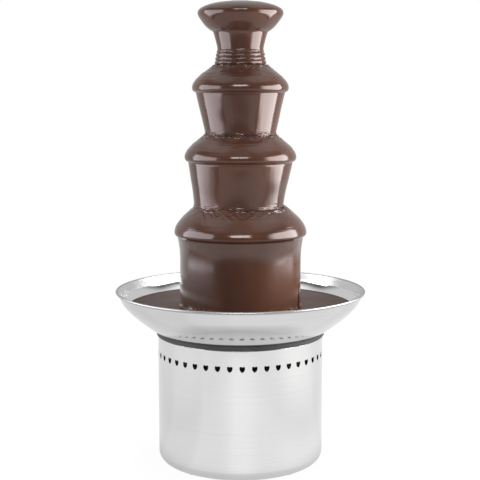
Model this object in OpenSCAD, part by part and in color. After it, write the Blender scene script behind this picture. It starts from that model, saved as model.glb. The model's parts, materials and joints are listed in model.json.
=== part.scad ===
// Table-top chocolate fountain: a heated bowl on a drum, and a screw in a tower with three tiers and a crown.
// Millimetres, +Z up, the origin on the surface it stands on, under the tower's axis. The front faces -Y.

/* [Drum] */
// Outer radius of the drum
drum_r = 116; // [108:1:122]
// Height of the drum from its turned-in foot to its top flange
drum_h = 180; // [172:0.5:195]
// Sheet thickness of the drum
drum_sheet = 1.2; // [0.8:0.1:2]
// Radius of the drum's rounded bottom corner
drum_corner = 13; // [6:1:16]
// Radius of the drum's top corner
drum_top_corner = 2.5; // [2.2:0.1:4]
// Width of the flange turned in at the top
drum_flange_w = 12; // [8:1:14]
// Flat width of the foot turned in at the bottom
drum_foot_w = 10; // [6:1:12]

/* [Heart vents] */
// Number of hearts round the drum
heart_count = 44; // [30:1:54]
// Width of one heart
heart_w = 7.5; // [5:0.1:9]
// Height of one heart
heart_h = 8.2; // [6:0.1:10]
// Height of the row of hearts above the drum's foot
heart_row_h = 157; // [130:1:162]
// Turn of the row from the middle of the front, in degrees
heart_turn = 1.2; // [0:0.1:4]

/* [Base plate and feet] */
// Thickness of the base plate
plate_sheet = 1.2; // [1:0.1:2]
// Clear height under the base plate
foot_drop = 3; // [3:0.1:8]
// Radius of a rubber foot
foot_r = 8; // [6:0.5:10]
// Distance of the feet's centres in from the drum's side
foot_inset = 25; // [24:0.5:28]
// Number of feet
foot_count = 4; // [3:1:6]
// Length of a vent slot in the base plate
plate_slot_l = 30; // [15:1:40]
// Width of a vent slot in the base plate
plate_slot_w = 5; // [3:0.5:8]

/* [Seat ring] */
// Distance that the ring stands out past the drum
ring_out = 2; // [1:0.5:3]
// Height of the ring between the drum and the bowl
ring_h = 6.7; // [6:0.1:12]
// Depth of the skirt that centres the ring in the drum
ring_skirt = 4; // [2:0.5:8]

/* [Bowl] */
// Radius of the bowl's rim
bowl_rim_r = 175; // [173:0.5:180]
// Height of the rim above the underside of the bowl's floor
bowl_h = 56.5; // [50:0.1:62]
// Distance that the bowl's flat floor stands out past the ring
bowl_foot_out = 1.5; // [0:0.5:4]
// Radius at the top of the curved wall, under the lip
bowl_wall_r = 168; // [166:0.5:170]
// Height of the flared lip
bowl_lip_h = 12; // [9:0.5:14]
// Sheet thickness of the bowl
bowl_sheet = 1.2; // [0.8:0.1:1.6]
// Depth of the chocolate in the bowl
pool_depth = 32; // [22:0.1:36]

/* [Tower tube] */
// Outer radius of the tube
tube_r = 25; // [24:0.1:25.5]
// Wall thickness of the tube
tube_wall = 1.2; // [0.8:0.1:1.6]
// Radius of the tube's foot flange
tube_flange_r = 44; // [42:0.5:50]
// Height of the foot flange above the bowl's floor
tube_foot_h = 8; // [6:0.5:14]
// Thickness of the foot flange
tube_flange_t = 2; // [1.5:0.1:3]
// Depth of the collar's seat below the lower tier's rim
collar_drop = 36; // [25:1:50]
// Radius of the collar that the lowest tier stands on
collar_r = 28.5; // [27.5:0.1:31]
// Distance of the locating studs from the axis
stud_pitch_r = 35; // [34:0.5:37]
// Radius of a locating stud's post
stud_r = 4.5; // [4:0.1:6]
// Radius of a locating stud's pin
stud_pin_r = 2.7; // [2:0.1:3]

/* [Lower tier] */
// Radius of the rim, over the chocolate
lower_rim_r = 92.3; // [89:0.1:97]
// Height of the rim above the bowl's seat
lower_rim_h = 138; // [126:0.1:145]
// Height of the dome above the rim
lower_dome_h = 33.5; // [28:0.5:36]
// Radius at the top of the dome
lower_shoulder_r = 65.5; // [64:0.1:70]
// Radius of the curtain where it falls into the pool
lower_foot_r = 84.7; // [80:0.1:88]

/* [Middle tier] */
// Radius of the rim, over the chocolate
middle_rim_r = 77.6; // [75:0.1:82]
// Height of the rim above the lower tier's rim
middle_rise = 104.6; // [98:0.1:115]
// Height of the dome above the rim
middle_dome_h = 29; // [26:0.1:33]
// Radius at the top of the dome
middle_shoulder_r = 50.7; // [50:0.1:54]
// Radius of the curtain where it lands on the lower tier
middle_foot_r = 61.9; // [60:0.1:64]

/* [Upper tier] */
// Radius of the rim, over the chocolate
upper_rim_r = 66.7; // [64:0.1:71]
// Height of the rim above the middle tier's rim
upper_rise = 95; // [88:0.5:105]
// Height of the dome above the rim
upper_dome_h = 28.5; // [25:0.1:31]
// Radius at the top of the dome
upper_shoulder_r = 39; // [38:0.1:42]
// Radius of the curtain where it lands on the middle tier
upper_foot_r = 48.5; // [47:0.1:50]

/* [Crown] */
// Radius of the crown, over the chocolate
crown_r = 59; // [57:0.1:63]
// Height of the crown's widest line above the upper tier's rim
crown_rise = 101.4; // [96:0.1:110]
// Height of the chocolate dome above that line
crown_dome_h = 15.9; // [12:0.1:20]
// Height of the cup below that line
crown_cup_h = 25.3; // [24:0.1:32]
// Radius of the chocolate at the foot of the cup
crown_neck_r = 37.4; // [36.5:0.1:39]
// Narrowest radius of the falling neck
neck_waist_r = 31.3; // [31:0.1:33]
// Height of the falling neck from its waist to the cup
neck_h = 23.4; // [18:0.1:26]
// Radius of the neck where it lands on the upper tier
neck_foot_r = 35.1; // [34.5:0.1:37]
// Length of the crown's sleeve on the tube
crown_sleeve_l = 24; // [15:0.5:28]

/* [Chocolate and tier sheet] */
// Thickness of the chocolate over a tier
film = 2; // [1.6:0.1:2.6]
// Thickness of a falling curtain
curtain_t = 2; // [1.4:0.1:2.4]
// Height over which the chocolate rolls under a rim
roll_h = 7.5; // [7:0.5:14]
// Distance that the chocolate draws in under a rim
roll_in = 5; // [4:0.1:6]
// Sheet thickness of the tiers and the crown
tier_sheet = 1.2; // [0.8:0.1:1.6]
// Depth of a tier's turned-down lip
tier_lip = 5; // [3:0.5:6]
// Rise from a dome's shoulder to its sleeve
shoulder_rise = 5; // [3:0.5:7]

/* [Auger] */
// Radius of the screw over its flight
auger_r = 22.8; // [20:0.1:23]
// Radius of the screw's core
auger_core_r = 9; // [8.5:0.1:12]
// Rise of the flight in one turn
auger_pitch = 44; // [36:1:60]
// Thickness of the flight
auger_flight_t = 3; // [2:0.1:5]

/* [Drive] */
// Radius of the drive shaft
shaft_r = 5; // [4:0.1:5.4]
// Radius of the coupling's hub
coupling_r = 10; // [9.5:0.1:12]
// Height of the coupling's hub
coupling_hub_h = 6; // [4:0.5:8]
// Height of the coupling's hexagon
coupling_hex_h = 10; // [8:0.5:14]
// Radius over the corners of the coupling's hexagon
coupling_hex_r = 7; // [6.6:0.1:7.4]
// Radius of the bush through the bowl's floor
bush_r = 9; // [8:0.1:10]
// Height of the shaft seal
seal_h = 5; // [3:0.5:7]
// Module of all the gears
gear_module = 1.25; // [1.1:0.05:1.3]
// Teeth of the gear on the drive shaft
output_teeth = 48; // [44:4:52]
// Teeth of the small gear of the cluster
cluster_small_teeth = 12; // [12:1:13]
// Teeth of the large gear of the cluster
cluster_large_teeth = 40; // [36:1:42]
// Teeth of the motor's pinion
motor_teeth = 10; // [10:1:12]
// Thickness of the gear on the drive shaft
output_gear_t = 9; // [6:0.5:10]
// Thickness of the cluster's large gear
cluster_gear_t = 7; // [5:0.5:8]
// Radius of the motor's shaft and of the cluster's axle
pin_r = 3; // [2.5:0.1:3.4]

/* [Motor and gearbox] */
// Height of the motor plate's underside above the drum's foot
motor_plate_h = 142.8; // [136:0.2:148]
// Thickness of the motor plate
motor_plate_t = 3; // [2:0.5:5]
// Radius of the motor plate
motor_plate_r = 92; // [90:0.5:96]
// Inner radius of the gearbox
gearbox_r = 50; // [50:0.5:54]
// Wall and floor thickness of the gearbox
gearbox_wall = 3; // [2:0.5:4]
// Depth inside the gearbox
gearbox_depth = 30; // [29:0.5:34]
// Radius of the motor
motor_r = 27; // [25:0.5:30]
// Length of the motor
motor_l = 60; // [45:1:70]
// Distance of the tie rods from the axis
rod_pitch_r = 82; // [81:0.5:83]
// Radius of a tie rod
rod_r = 3; // [2.5:0.1:3.2]

/* [Heater] */
// Thickness of the spreader plate under the bowl
spreader_t = 3; // [2:0.5:5]
// Outer radius of the spreader plate
spreader_r = 74; // [72:0.5:77]
// Inner radius of the spreader plate
spreader_hole_r = 40; // [30:0.5:45]
// Radius of the ring that the heating element makes
element_ring_r = 58; // [54:0.5:60]
// Radius of the heating element's tube
element_r = 4; // [3:0.1:5]

/* [Controls] */
// Depth of the control panel's face behind the drum's rear
panel_inset = 11; // [10:0.5:13]
// Half width of the panel's window in the drum
window_half_w = 46; // [44:0.5:46]
// Height of the window's lower edge above the drum's foot
window_low_h = 34; // [25:1:36]
// Height of the window
window_h = 56; // [54:1:70]
// Thickness of the control panel
panel_t = 2; // [1.5:0.1:3]
// Height of the row of switches above the window's lower edge
control_row_h = 36; // [34:0.5:38]
// Distance of each switch from the knob
switch_pitch = 28; // [25:0.5:31]
// Height of the cable gland above the window's lower edge
gland_row_h = 12; // [11.5:0.5:13]
// Half width of a rocker
rocker_half_w = 5.5; // [4.5:0.1:6]
// Radius that a rocker's ends swing on
rocker_swing_r = 9.3; // [8:0.1:10]
// Tip of a rocker from one side to the other, in degrees
rocker_throw = 16; // [8:1:20]
// Radius of the temperature knob
knob_r = 13; // [10:0.5:14]
// Length of the temperature knob
knob_l = 13; // [10:0.5:16]
// Radius of the thermostat's spindle
spindle_r = 3; // [2.5:0.1:3.5]
// Radius of the bore that takes a cord
gland_bore_r = 4; // [3:0.1:5]
// Radius of the gland's threaded barrel
gland_barrel_r = 7.5; // [7:0.1:8]

/* [Hidden] */
$fn = 96;

// Gap round a piece that lifts off or lies loose
loose_fit = 0.3;
// Gap round a shaft that turns in a hole
running_fit = 0.05;
// Gap between flat faces that pass each other
face_gap = 0.4;
// How steeply the domes, the bowl's wall, the curtains and the cup curve
dome_bend = 1.75;
bowl_bend = 1.35;
roll_bend = 3;
curtain_bend = 1.2;
cup_bend = 0.62;
// Steps along each curved outline
curve_steps = 8;

// Radii that follow the drum
ring_r = drum_r + ring_out;
bowl_foot_r = ring_r + bowl_foot_out;
foot_pitch_r = drum_r - foot_inset;
panel_y = drum_r - panel_inset;

// Heights of the main seats above the surface it stands on
drum_z = foot_drop + plate_sheet;
ring_z = drum_z + drum_h;
bowl_z = ring_z + ring_h;
bowl_floor_z = bowl_z + bowl_sheet;
bowl_rim_z = bowl_z + bowl_h;
bowl_lip_z = bowl_rim_z - bowl_lip_h;
pool_z = bowl_floor_z + pool_depth;
tube_foot_z = bowl_floor_z + tube_foot_h;
lower_rim_z = bowl_z + lower_rim_h;
middle_rim_z = lower_rim_z + middle_rise;
upper_rim_z = middle_rim_z + upper_rise;
crown_rim_z = upper_rim_z + crown_rise;
collar_z = lower_rim_z - collar_drop;
sleeve_in_r = tube_r + loose_fit;
sleeve_r = sleeve_in_r + tier_sheet;
tube_in_r = tube_r - tube_wall;
cup_foot_z = crown_rim_z - crown_cup_h;
tube_top_z = cup_foot_z;
// The cup's metal stops short of the chocolate's widest line
cup_wall_h = crown_cup_h - 3;
waist_z = cup_foot_z - neck_h;

// A tier as [rim radius, rim height, dome height, shoulder radius]
lower_tier = [lower_rim_r, lower_rim_z, lower_dome_h, lower_shoulder_r];
middle_tier = [middle_rim_r, middle_rim_z, middle_dome_h, middle_shoulder_r];
upper_tier = [upper_rim_r, upper_rim_z, upper_dome_h, upper_shoulder_r];

// Height of a tier's chocolate at a radius inside its shoulder
function wet_z(tier, r) = tier[1] + tier[2] + shoulder_rise * (tier[3] - r) / (tier[3] - sleeve_r);
// Height of the top of a tier's sleeve
function sleeve_top_z(tier) = tier[1] + tier[2] - film + shoulder_rise;
// Points of a tier's dome from its rim to its shoulder, set in by some depth under the chocolate's face
function dome_points(tier, inset) = [
    for (i = [0 : curve_steps])
    let (u = i / curve_steps, rim_r = tier[0] - inset)
    [rim_r - (rim_r - tier[3]) * pow(u, dome_bend), tier[1] + (tier[2] - inset) * u]
];
// The same points from last to first
function reversed(points) = [for (i = [len(points) - 1 : -1 : 0]) points[i]];
// Points of a falling sheet from its foot to its top
function fall_points(foot, top, bend) = [
    for (i = [0 : curve_steps])
    let (s = i / curve_steps)
    [foot[0] + (top[0] - foot[0]) * pow(s, bend), foot[1] + (top[1] - foot[1]) * s]
];
// Points of the crown's cup from its foot to its rim, moved out from the metal's outer face
function cup_points(shift, from_step) = [
    for (i = [from_step : curve_steps])
    let (v = i / curve_steps)
    [crown_neck_r - film + shift + (crown_r - crown_neck_r) * pow(v, cup_bend), cup_foot_z + cup_wall_h * v]
];
// Points of the bowl's wall from its floor to its lip, moved in by some depth
function bowl_points(inset) = [
    for (i = [0 : curve_steps])
    let (u = 1 - i / curve_steps, wall_h = bowl_lip_z - bowl_z)
    [bowl_wall_r - (bowl_wall_r - bowl_foot_r) * pow(u, bowl_bend) - 0.7 * inset,
     bowl_lip_z - wall_h * u + inset * u]
];
// Points on an arc
function arc_points(centre, r, from, to, steps) = [
    for (i = [0 : steps])
    let (a = from + (to - from) * i / steps)
    centre + r * [cos(a), sin(a)]
];

// Angle, in degrees, that an involute has turned by a radius
function involute(r, base_r) =
    r <= base_r ? 0 : let (a = acos(base_r / r)) tan(a) * 180 / PI - a;
gear_pressure_angle = 25;
gear_addendum = 0.8 * gear_module;
gear_dedendum = 1.1 * gear_module;
gear_backlash = 0.24;
function pitch_r(teeth) = teeth * gear_module / 2;
// Half a tooth's angle at a radius
function tooth_half(teeth, r) =
    let (p = pitch_r(teeth), base_r = p * cos(gear_pressure_angle))
    90 / teeth - gear_backlash / 2 / p * 180 / PI + involute(p, base_r) - involute(r, base_r);
// Outline of a spur gear with a tooth along +X
function gear_outline(teeth) =
    let (p = pitch_r(teeth),
         radii = [p - gear_dedendum, p - gear_addendum / 2, p + gear_addendum / 4, p + gear_addendum],
         last = len(radii) - 1)
    [for (k = [0 : teeth - 1]) for (side = [-1, 1]) for (j = [0 : last])
        let (r = radii[side < 0 ? j : last - j], a = 360 * k / teeth + side * tooth_half(teeth, r))
        [r * cos(a), r * sin(a)]];

// Gear centres: the cluster beside the drive shaft, and the motor back towards the axis
cluster_x = pitch_r(output_teeth) + pitch_r(cluster_small_teeth);
motor_angle = 120;
motor_arm = pitch_r(cluster_large_teeth) + pitch_r(motor_teeth);
motor_at = [cluster_x + motor_arm * cos(motor_angle), motor_arm * sin(motor_angle)];
gearbox_at = [16, 3];

// Heights in the gearbox
plate_z = drum_z + motor_plate_h;
case_floor_z = plate_z - gearbox_depth;
case_z = case_floor_z - gearbox_wall;
boss_h = 2;
gear_low_z = case_floor_z + boss_h + 2;
gear_high_z = gear_low_z + cluster_gear_t + 4;
case_ear_r = 5;
case_ear_h = 12;
case_ear_pitch = gearbox_r + gearbox_wall + 2;
case_ear_angles = [45, 135, 225, 315];
case_screw_r = 1.8;
motor_screw_r = 1.5;
motor_screw_pitch = motor_r - 7;
motor_screw_angles = [30, 150, 270];
screw_head_h = 2;

// Heights above the bowl's floor on the drive shaft
bush_flange_h = 2;
bush_flange_r = bush_r + 6;
bush_below = 14;
bush_nut_h = 6;
seal_z = bowl_floor_z + bush_flange_h;
coupling_z = seal_z + seal_h + face_gap;
auger_z = coupling_z + coupling_hub_h;
shaft_top_z = auger_z + coupling_hex_h - 2;
auger_top_z = tube_top_z - 4;
flight_start_z = auger_z + auger_flight_t;
flight_end_z = auger_top_z - auger_flight_t - 4;
flight_steps_turn = 24;
flight_steps = floor((flight_end_z - flight_start_z) / auger_pitch * flight_steps_turn);

// Rods and nuts
rod_angles = [30, 150, 270];
nut_h = 2.4;
nut_r = rod_r + 2.4;

// Heater heights
spreader_z = bowl_z - spreader_t;
element_z = spreader_z - loose_fit - element_r;
clamp_strap_t = 1.5;
clamp_half_w = 6;
// The element's ring bows out of line under a clamp
clamp_bow = element_ring_r - sqrt(element_ring_r * element_ring_r - clamp_half_w * clamp_half_w);
clamp_leg_r = element_r + clamp_bow + loose_fit;
clamp_angles = [90, 210, 330];
element_gap = 30;

// Control heights and places
drum_in_r = drum_r - drum_sheet;
window_z = drum_z + window_low_h;
control_z = window_z + control_row_h;
gland_z = window_z + gland_row_h;
rocker_wall = 0.7;
rocker_axis_in = 1;
rocker_pin_r = 1.2;
rocker_gap = 0.3;
switch_half_w = rocker_half_w + rocker_gap + rocker_wall;
switch_half_h = rocker_swing_r + rocker_gap + 1.4;
switch_bezel = 1;
switch_bezel_h = 1.6;
switch_depth = 20;
thermostat_half = 13;
thermostat_depth = 18;
thermostat_bush_r = spindle_r + 1.7;
thermostat_bush_l = 3;
spindle_in = 8;
knob_gap = 0.6;
gland_hex_r = 10.5;
gland_hex_h = 5;
gland_cap_r = 9;
gland_cap_l = 10;
gland_in_l = 15;
gland_nut_h = 4;

steel = [0.82, 0.82, 0.82];
dark = [0.16, 0.16, 0.17];
chocolate = [0.33, 0.22, 0.18];
brass = [0.78, 0.62, 0.32];
white_plastic = [0.9, 0.89, 0.86];
rubber = [0.08, 0.08, 0.08];

// Spins an outline of [radius, height] points about the axis
module turned(points) {
    rotate_extrude() polygon(points);
}

// A straight ring or, with no hole, a disc
module ring(outer_r, hole_r, low_z, high_z) {
    turned([[hole_r, low_z], [outer_r, low_z], [outer_r, high_z], [hole_r, high_z]]);
}

// A plain cylinder between two heights
module post(r, low_z, high_z) {
    translate([0, 0, low_z]) cylinder(r = r, h = high_z - low_z);
}

// Copies of a piece on a circle about the axis
module round_about(angles, r) {
    for (a = angles) rotate(a) translate([r, 0, 0]) children();
}

// Turns a piece that was drawn along +Z to point out of the control panel, at a place on its face
module on_panel(x, z) {
    translate([x, panel_y, z]) rotate([-90, 0, 0]) children();
}

// Outline of a heart with its point down, its widest line at the origin's height
function heart_outline() =
    let (lobe_r = heart_w / 4, drop = heart_h - lobe_r, cheek = [0.42 * heart_w, -0.4 * drop],
        chin = [0.24 * heart_w, -0.76 * drop])
    concat(arc_points([lobe_r, 0], lobe_r, 0, 150, 5), arc_points([-lobe_r, 0], lobe_r, 30, 180, 5),
        [[-cheek[0], cheek[1]], [-chin[0], chin[1]], [0, -drop], chin, cheek]);

module base_shell() {
    corner_at = [drum_r - drum_corner, drum_z + drum_corner];
    top_at = [drum_r - drum_top_corner, ring_z - drum_top_corner];
    foot_in_r = corner_at[0] - drum_foot_w;
    color(steel)
    difference() {
        turned(concat(
            [[foot_in_r, drum_z]],
            arc_points(corner_at, drum_corner, -90, 0, 6),
            arc_points(top_at, drum_top_corner, 0, 90, 4),
            [[drum_r - drum_flange_w, ring_z], [drum_r - drum_flange_w, ring_z - drum_sheet]],
            arc_points(top_at, drum_top_corner - drum_sheet, 90, 0, 4),
            arc_points(corner_at, drum_corner - drum_sheet, 0, -90, 6),
            [[foot_in_r, drum_z + drum_sheet]]));
        for (i = [0 : heart_count - 1])
            rotate(heart_turn + 360 * i / heart_count)
            translate([0, -drum_in_r + 4, drum_z + heart_row_h])
            rotate([90, 0, 0])
            linear_extrude(drum_sheet + 8) polygon(heart_outline());
        translate([-window_half_w, 0, window_z]) cube([2 * window_half_w, drum_r + 1, window_h]);
    }
}

module base_plate() {
    plate_r = drum_r - drum_corner - 0.5;
    slot_in_r = 35;
    color(steel)
    difference() {
        ring(plate_r, 0, foot_drop, drum_z);
        round_about(rod_angles, rod_pitch_r) post(rod_r + loose_fit, 0, drum_z + 1);
        round_about([for (i = [0 : 8]) 40 * i + 10], slot_in_r)
            translate([0, -plate_slot_w / 2, 0]) cube([plate_slot_l, plate_slot_w, drum_z + 1]);
    }
}

module rubber_feet() {
    color(rubber)
    round_about([for (i = [0 : foot_count - 1]) 360 * (i + 0.5) / foot_count], foot_pitch_r)
        turned([[0, 0], [foot_r - 1, 0], [foot_r, foot_drop / 2], [foot_r, foot_drop], [0, foot_drop]]);
}

module seat_ring() {
    skirt_r = drum_r - drum_flange_w - loose_fit;
    skirt_in_r = skirt_r - 2.4;
    chamfer = 0.8;
    color(dark)
    turned([[skirt_in_r, ring_z - drum_sheet - ring_skirt], [skirt_r, ring_z - drum_sheet - ring_skirt],
        [skirt_r, ring_z], [ring_r - chamfer, ring_z], [ring_r, ring_z + chamfer], [ring_r, bowl_z - chamfer],
        [ring_r - chamfer, bowl_z], [skirt_in_r, bowl_z]]);
}

module bowl() {
    hem_t = 2.2 * bowl_sheet;
    hem_h = 3;
    lip_out = bowl_points(0)[curve_steps];
    lip_in = bowl_points(bowl_sheet)[curve_steps];
    hole_r = bush_r + loose_fit;
    color(steel)
    turned(concat(
        [[hole_r, bowl_z]],
        bowl_points(0),
        [[bowl_rim_r - hem_t / 2, bowl_rim_z - hem_h], [bowl_rim_r, bowl_rim_z - hem_h],
         [bowl_rim_r, bowl_rim_z - hem_t / 3], [bowl_rim_r - hem_t / 3, bowl_rim_z],
         [bowl_rim_r - hem_t, bowl_rim_z], [bowl_rim_r - hem_t, bowl_rim_z - hem_h]],
        reversed(bowl_points(bowl_sheet)),
        [[hole_r, bowl_floor_z]]));
}

module tower_studs() {
    pin_top_z = tube_foot_z + tube_flange_t + 4;
    color(steel)
    round_about(rod_angles, stud_pitch_r)
        turned([[0, bowl_floor_z], [stud_r, bowl_floor_z], [stud_r, tube_foot_z], [stud_pin_r, tube_foot_z],
            [stud_pin_r, pin_top_z - 1], [stud_pin_r - 1, pin_top_z], [0, pin_top_z]]);
}

module bowl_bush() {
    bore_r = shaft_r + running_fit;
    color(brass)
    turned([[bore_r, bowl_z - bush_below], [bush_r, bowl_z - bush_below], [bush_r, bowl_floor_z],
        [bush_flange_r, bowl_floor_z], [bush_flange_r, seal_z], [bore_r, seal_z]]);
}

module bush_nut() {
    color(brass)
    difference() {
        translate([0, 0, bowl_z - bush_nut_h]) cylinder(r = bush_r + 6, h = bush_nut_h, $fn = 6);
        post(bush_r + running_fit, bowl_z - bush_nut_h - 1, bowl_z + 1);
    }
}

module shaft_seal() {
    lip_r = shaft_r + running_fit;
    color(rubber)
    turned([[lip_r, seal_z], [bush_flange_r - 3, seal_z], [bush_flange_r - 3, seal_z + seal_h - 1],
        [bush_flange_r - 4, seal_z + seal_h], [lip_r, seal_z + seal_h]]);
}

module tie_rods() {
    color(steel)
    round_about(rod_angles, rod_pitch_r) post(rod_r, foot_drop - nut_h, bowl_z);
}

module rod_nuts() {
    color(steel)
    for (z = [foot_drop - nut_h, plate_z - nut_h, plate_z + motor_plate_t])
        round_about(rod_angles, rod_pitch_r)
        difference() {
            translate([0, 0, z]) cylinder(r = nut_r, h = nut_h, $fn = 6);
            post(rod_r + running_fit, z - 1, z + nut_h + 1);
        }
}

// Places a piece on each ear of the gearbox
module at_case_ears() {
    translate(gearbox_at) round_about(case_ear_angles, case_ear_pitch) children();
}

// Places a piece on each screw hole of the motor
module at_motor_screws() {
    translate(motor_at) round_about(motor_screw_angles, motor_screw_pitch) children();
}

module motor_plate() {
    top_z = plate_z + motor_plate_t;
    color(steel)
    difference() {
        ring(motor_plate_r, bush_r + loose_fit, plate_z, top_z);
        round_about(rod_angles, rod_pitch_r) post(rod_r + loose_fit, plate_z - 1, top_z + 1);
        at_case_ears() post(case_screw_r + loose_fit, plate_z - 1, top_z + 1);
    }
}

module plate_bush() {
    bore_r = shaft_r + running_fit;
    top_z = plate_z + motor_plate_t;
    color(brass)
    turned([[bore_r, plate_z], [bush_r, plate_z], [bush_r, top_z], [bush_r + 4, top_z], [bush_r + 4, top_z + 2],
        [bore_r, top_z + 2]]);
}

module gearbox_case() {
    boss_r = shaft_r + 4;
    pocket_z = case_z + 1;
    color([0.6, 0.6, 0.62])
    difference() {
        union() {
            translate(gearbox_at)
            turned([[0, case_z], [gearbox_r + gearbox_wall, case_z], [gearbox_r + gearbox_wall, plate_z],
                [gearbox_r, plate_z], [gearbox_r, case_floor_z], [0, case_floor_z]]);
            post(boss_r, case_z + 1, case_floor_z + boss_h);
            at_case_ears() post(case_ear_r, plate_z - case_ear_h, plate_z);
        }
        post(shaft_r + running_fit, pocket_z, plate_z);
        translate(motor_at) post(pin_r + 1, case_z - 1, plate_z);
        at_case_ears() post(case_screw_r + running_fit, plate_z - case_ear_h - 1, plate_z + 1);
        at_motor_screws() post(motor_screw_r + loose_fit, case_z - 1, plate_z);
        translate(gearbox_at) post(gearbox_r, case_floor_z + boss_h, plate_z + 1);
    }
}

module gearbox_screws() {
    top_z = plate_z + motor_plate_t;
    color(steel)
    at_case_ears()
        turned([[0, plate_z - case_ear_h + 2], [case_screw_r, plate_z - case_ear_h + 2], [case_screw_r, top_z],
            [2 * case_screw_r, top_z], [2 * case_screw_r, top_z + screw_head_h], [0, top_z + screw_head_h]]);
}

module motor_can() {
    low_z = case_z - motor_l;
    shoulder = 5;
    slot_w = 4;
    slot_l = 22;
    hole_z = case_z - 14;
    color([0.35, 0.35, 0.37])
    translate(motor_at)
    difference() {
        turned(concat([[0, low_z]],
            arc_points([motor_r - shoulder, low_z + shoulder], shoulder, -90, 0, 4),
            [[motor_r, case_z - 2], [motor_r - 2, case_z], [0, case_z]]));
        post(pin_r + running_fit, hole_z, case_z + 1);
        round_about(motor_screw_angles, motor_screw_pitch) post(motor_screw_r + running_fit, case_z - 8, case_z + 1);
        round_about([for (i = [0 : 7]) 45 * i], motor_r - 2)
            translate([0, -slot_w / 2, low_z + 2 * shoulder]) cube([4, slot_w, slot_l]);
    }
}

module motor_screws() {
    color(steel)
    at_motor_screws()
        turned([[0, case_z - 7], [motor_screw_r, case_z - 7], [motor_screw_r, case_floor_z],
            [2 * motor_screw_r, case_floor_z], [2 * motor_screw_r, case_floor_z + screw_head_h],
            [0, case_floor_z + screw_head_h]]);
}

module cluster_axle() {
    color(steel)
    translate([cluster_x, 0, 0]) post(pin_r, case_floor_z, plate_z);
}

module heat_spreader() {
    color([0.75, 0.75, 0.77])
    ring(spreader_r, spreader_hole_r, spreader_z, bowl_z);
}

module heating_element() {
    terminal_r = 2;
    terminal_l = 16;
    color([0.3, 0.3, 0.31])
    union() {
        rotate(element_gap / 2 - 90)
        rotate_extrude(angle = 360 - element_gap)
        translate([element_ring_r, element_z]) circle(element_r);
        for (side = [-1, 1])
            rotate(side * (element_gap / 2 + 4) - 90)
            translate([element_ring_r, 0, 0]) post(terminal_r, element_z - terminal_l, element_z);
    }
}

module heater_clamps() {
    strap_z = element_z - element_r - loose_fit - clamp_strap_t;
    color(steel)
    for (a = clamp_angles)
        rotate(a)
        translate([element_ring_r, 0, 0])
        difference() {
            translate([-clamp_leg_r - clamp_strap_t, -clamp_half_w, strap_z])
                cube([2 * (clamp_leg_r + clamp_strap_t), 2 * clamp_half_w, spreader_z - strap_z]);
            translate([-clamp_leg_r, -clamp_half_w - 1, strap_z + clamp_strap_t])
                cube([2 * clamp_leg_r, 2 * clamp_half_w + 2, spreader_z]);
        }
}

module control_panel() {
    tray_r = drum_in_r - loose_fit;
    low_z = window_z - panel_t;
    high_z = window_z + window_h + panel_t;
    cut = drum_r + 20;
    color(dark)
    difference() {
        intersection() {
            post(tray_r, low_z, high_z);
            translate([-cut, panel_y - panel_t, low_z]) cube([2 * cut, cut, high_z - low_z]);
        }
        translate([-cut, panel_y, window_z]) cube([2 * cut, cut, window_h]);
        for (side = [-1, 1])
            translate([side * switch_pitch - switch_half_w - 0.2, panel_y - cut, control_z - switch_half_h - 0.2])
                cube([2 * switch_half_w + 0.4, 2 * cut, 2 * switch_half_h + 0.4]);
        on_panel(0, control_z) post(thermostat_bush_r + loose_fit, -panel_t - 1, 1);
        on_panel(0, gland_z) post(gland_barrel_r + loose_fit, -panel_t - 1, 1);
    }
}

// A rocker switch's housing, at a place along the panel
module switch_body(x) {
    well = rocker_axis_in + 7;
    well_half_w = rocker_half_w + rocker_gap;
    well_half_h = rocker_swing_r + rocker_gap;
    rim_half_w = switch_half_w + switch_bezel;
    rim_half_h = switch_half_h + switch_bezel;
    color(dark)
    translate([x, panel_y, control_z])
    difference() {
        union() {
            translate([-switch_half_w, -switch_depth, -switch_half_h])
                cube([2 * switch_half_w, switch_depth + 0.5, 2 * switch_half_h]);
            translate([-rim_half_w, 0, -rim_half_h])
                cube([2 * rim_half_w, switch_bezel_h, 2 * rim_half_h]);
        }
        translate([-well_half_w, -well, -well_half_h])
            cube([2 * well_half_w, well + switch_bezel_h + 1, 2 * well_half_h]);
        translate([0, -rocker_axis_in, 0]) rotate([0, 90, 0])
            post(rocker_pin_r + running_fit, -switch_half_w - 1, switch_half_w + 1);
    }
}

// A rocker, drawn with its lower end pressed in
module rocker(x) {
    middle_y = 3.2;
    back_y = -3;
    slope = tan(rocker_throw / 2);
    reach = rocker_swing_r + 1;
    translate([x, panel_y - rocker_axis_in, control_z])
    rotate([-rocker_throw / 2, 0, 0])
    union() {
        intersection() {
            rotate([0, 90, 0]) post(rocker_swing_r, -rocker_half_w, rocker_half_w);
            rotate([90, 0, 90])
            translate([0, 0, -rocker_half_w - 1])
            linear_extrude(2 * rocker_half_w + 2)
            polygon([[back_y, -reach], [middle_y + reach * slope, -reach], [middle_y, 0],
                [middle_y + reach * slope, reach], [back_y, reach]]);
        }
        rotate([0, 90, 0])
            post(rocker_pin_r, -switch_half_w + 0.1, switch_half_w - 0.1);
    }
}

module motor_switch_body() {
    switch_body(-switch_pitch);
}

module heater_switch_body() {
    switch_body(switch_pitch);
}

module motor_rocker() {
    color([0.1, 0.1, 0.11]) rocker(-switch_pitch);
}

module heater_rocker() {
    color([0.6, 0.1, 0.08]) rocker(switch_pitch);
}

module thermostat_body() {
    back = panel_t + thermostat_depth;
    color(white_plastic)
    on_panel(0, control_z)
    difference() {
        union() {
            translate([-thermostat_half, -thermostat_half, -back])
                cube([2 * thermostat_half, 2 * thermostat_half, thermostat_depth]);
            post(thermostat_bush_r, -panel_t - 1, thermostat_bush_l);
        }
        post(spindle_r + running_fit, -panel_t - spindle_in, thermostat_bush_l + 1);
    }
}

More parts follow.
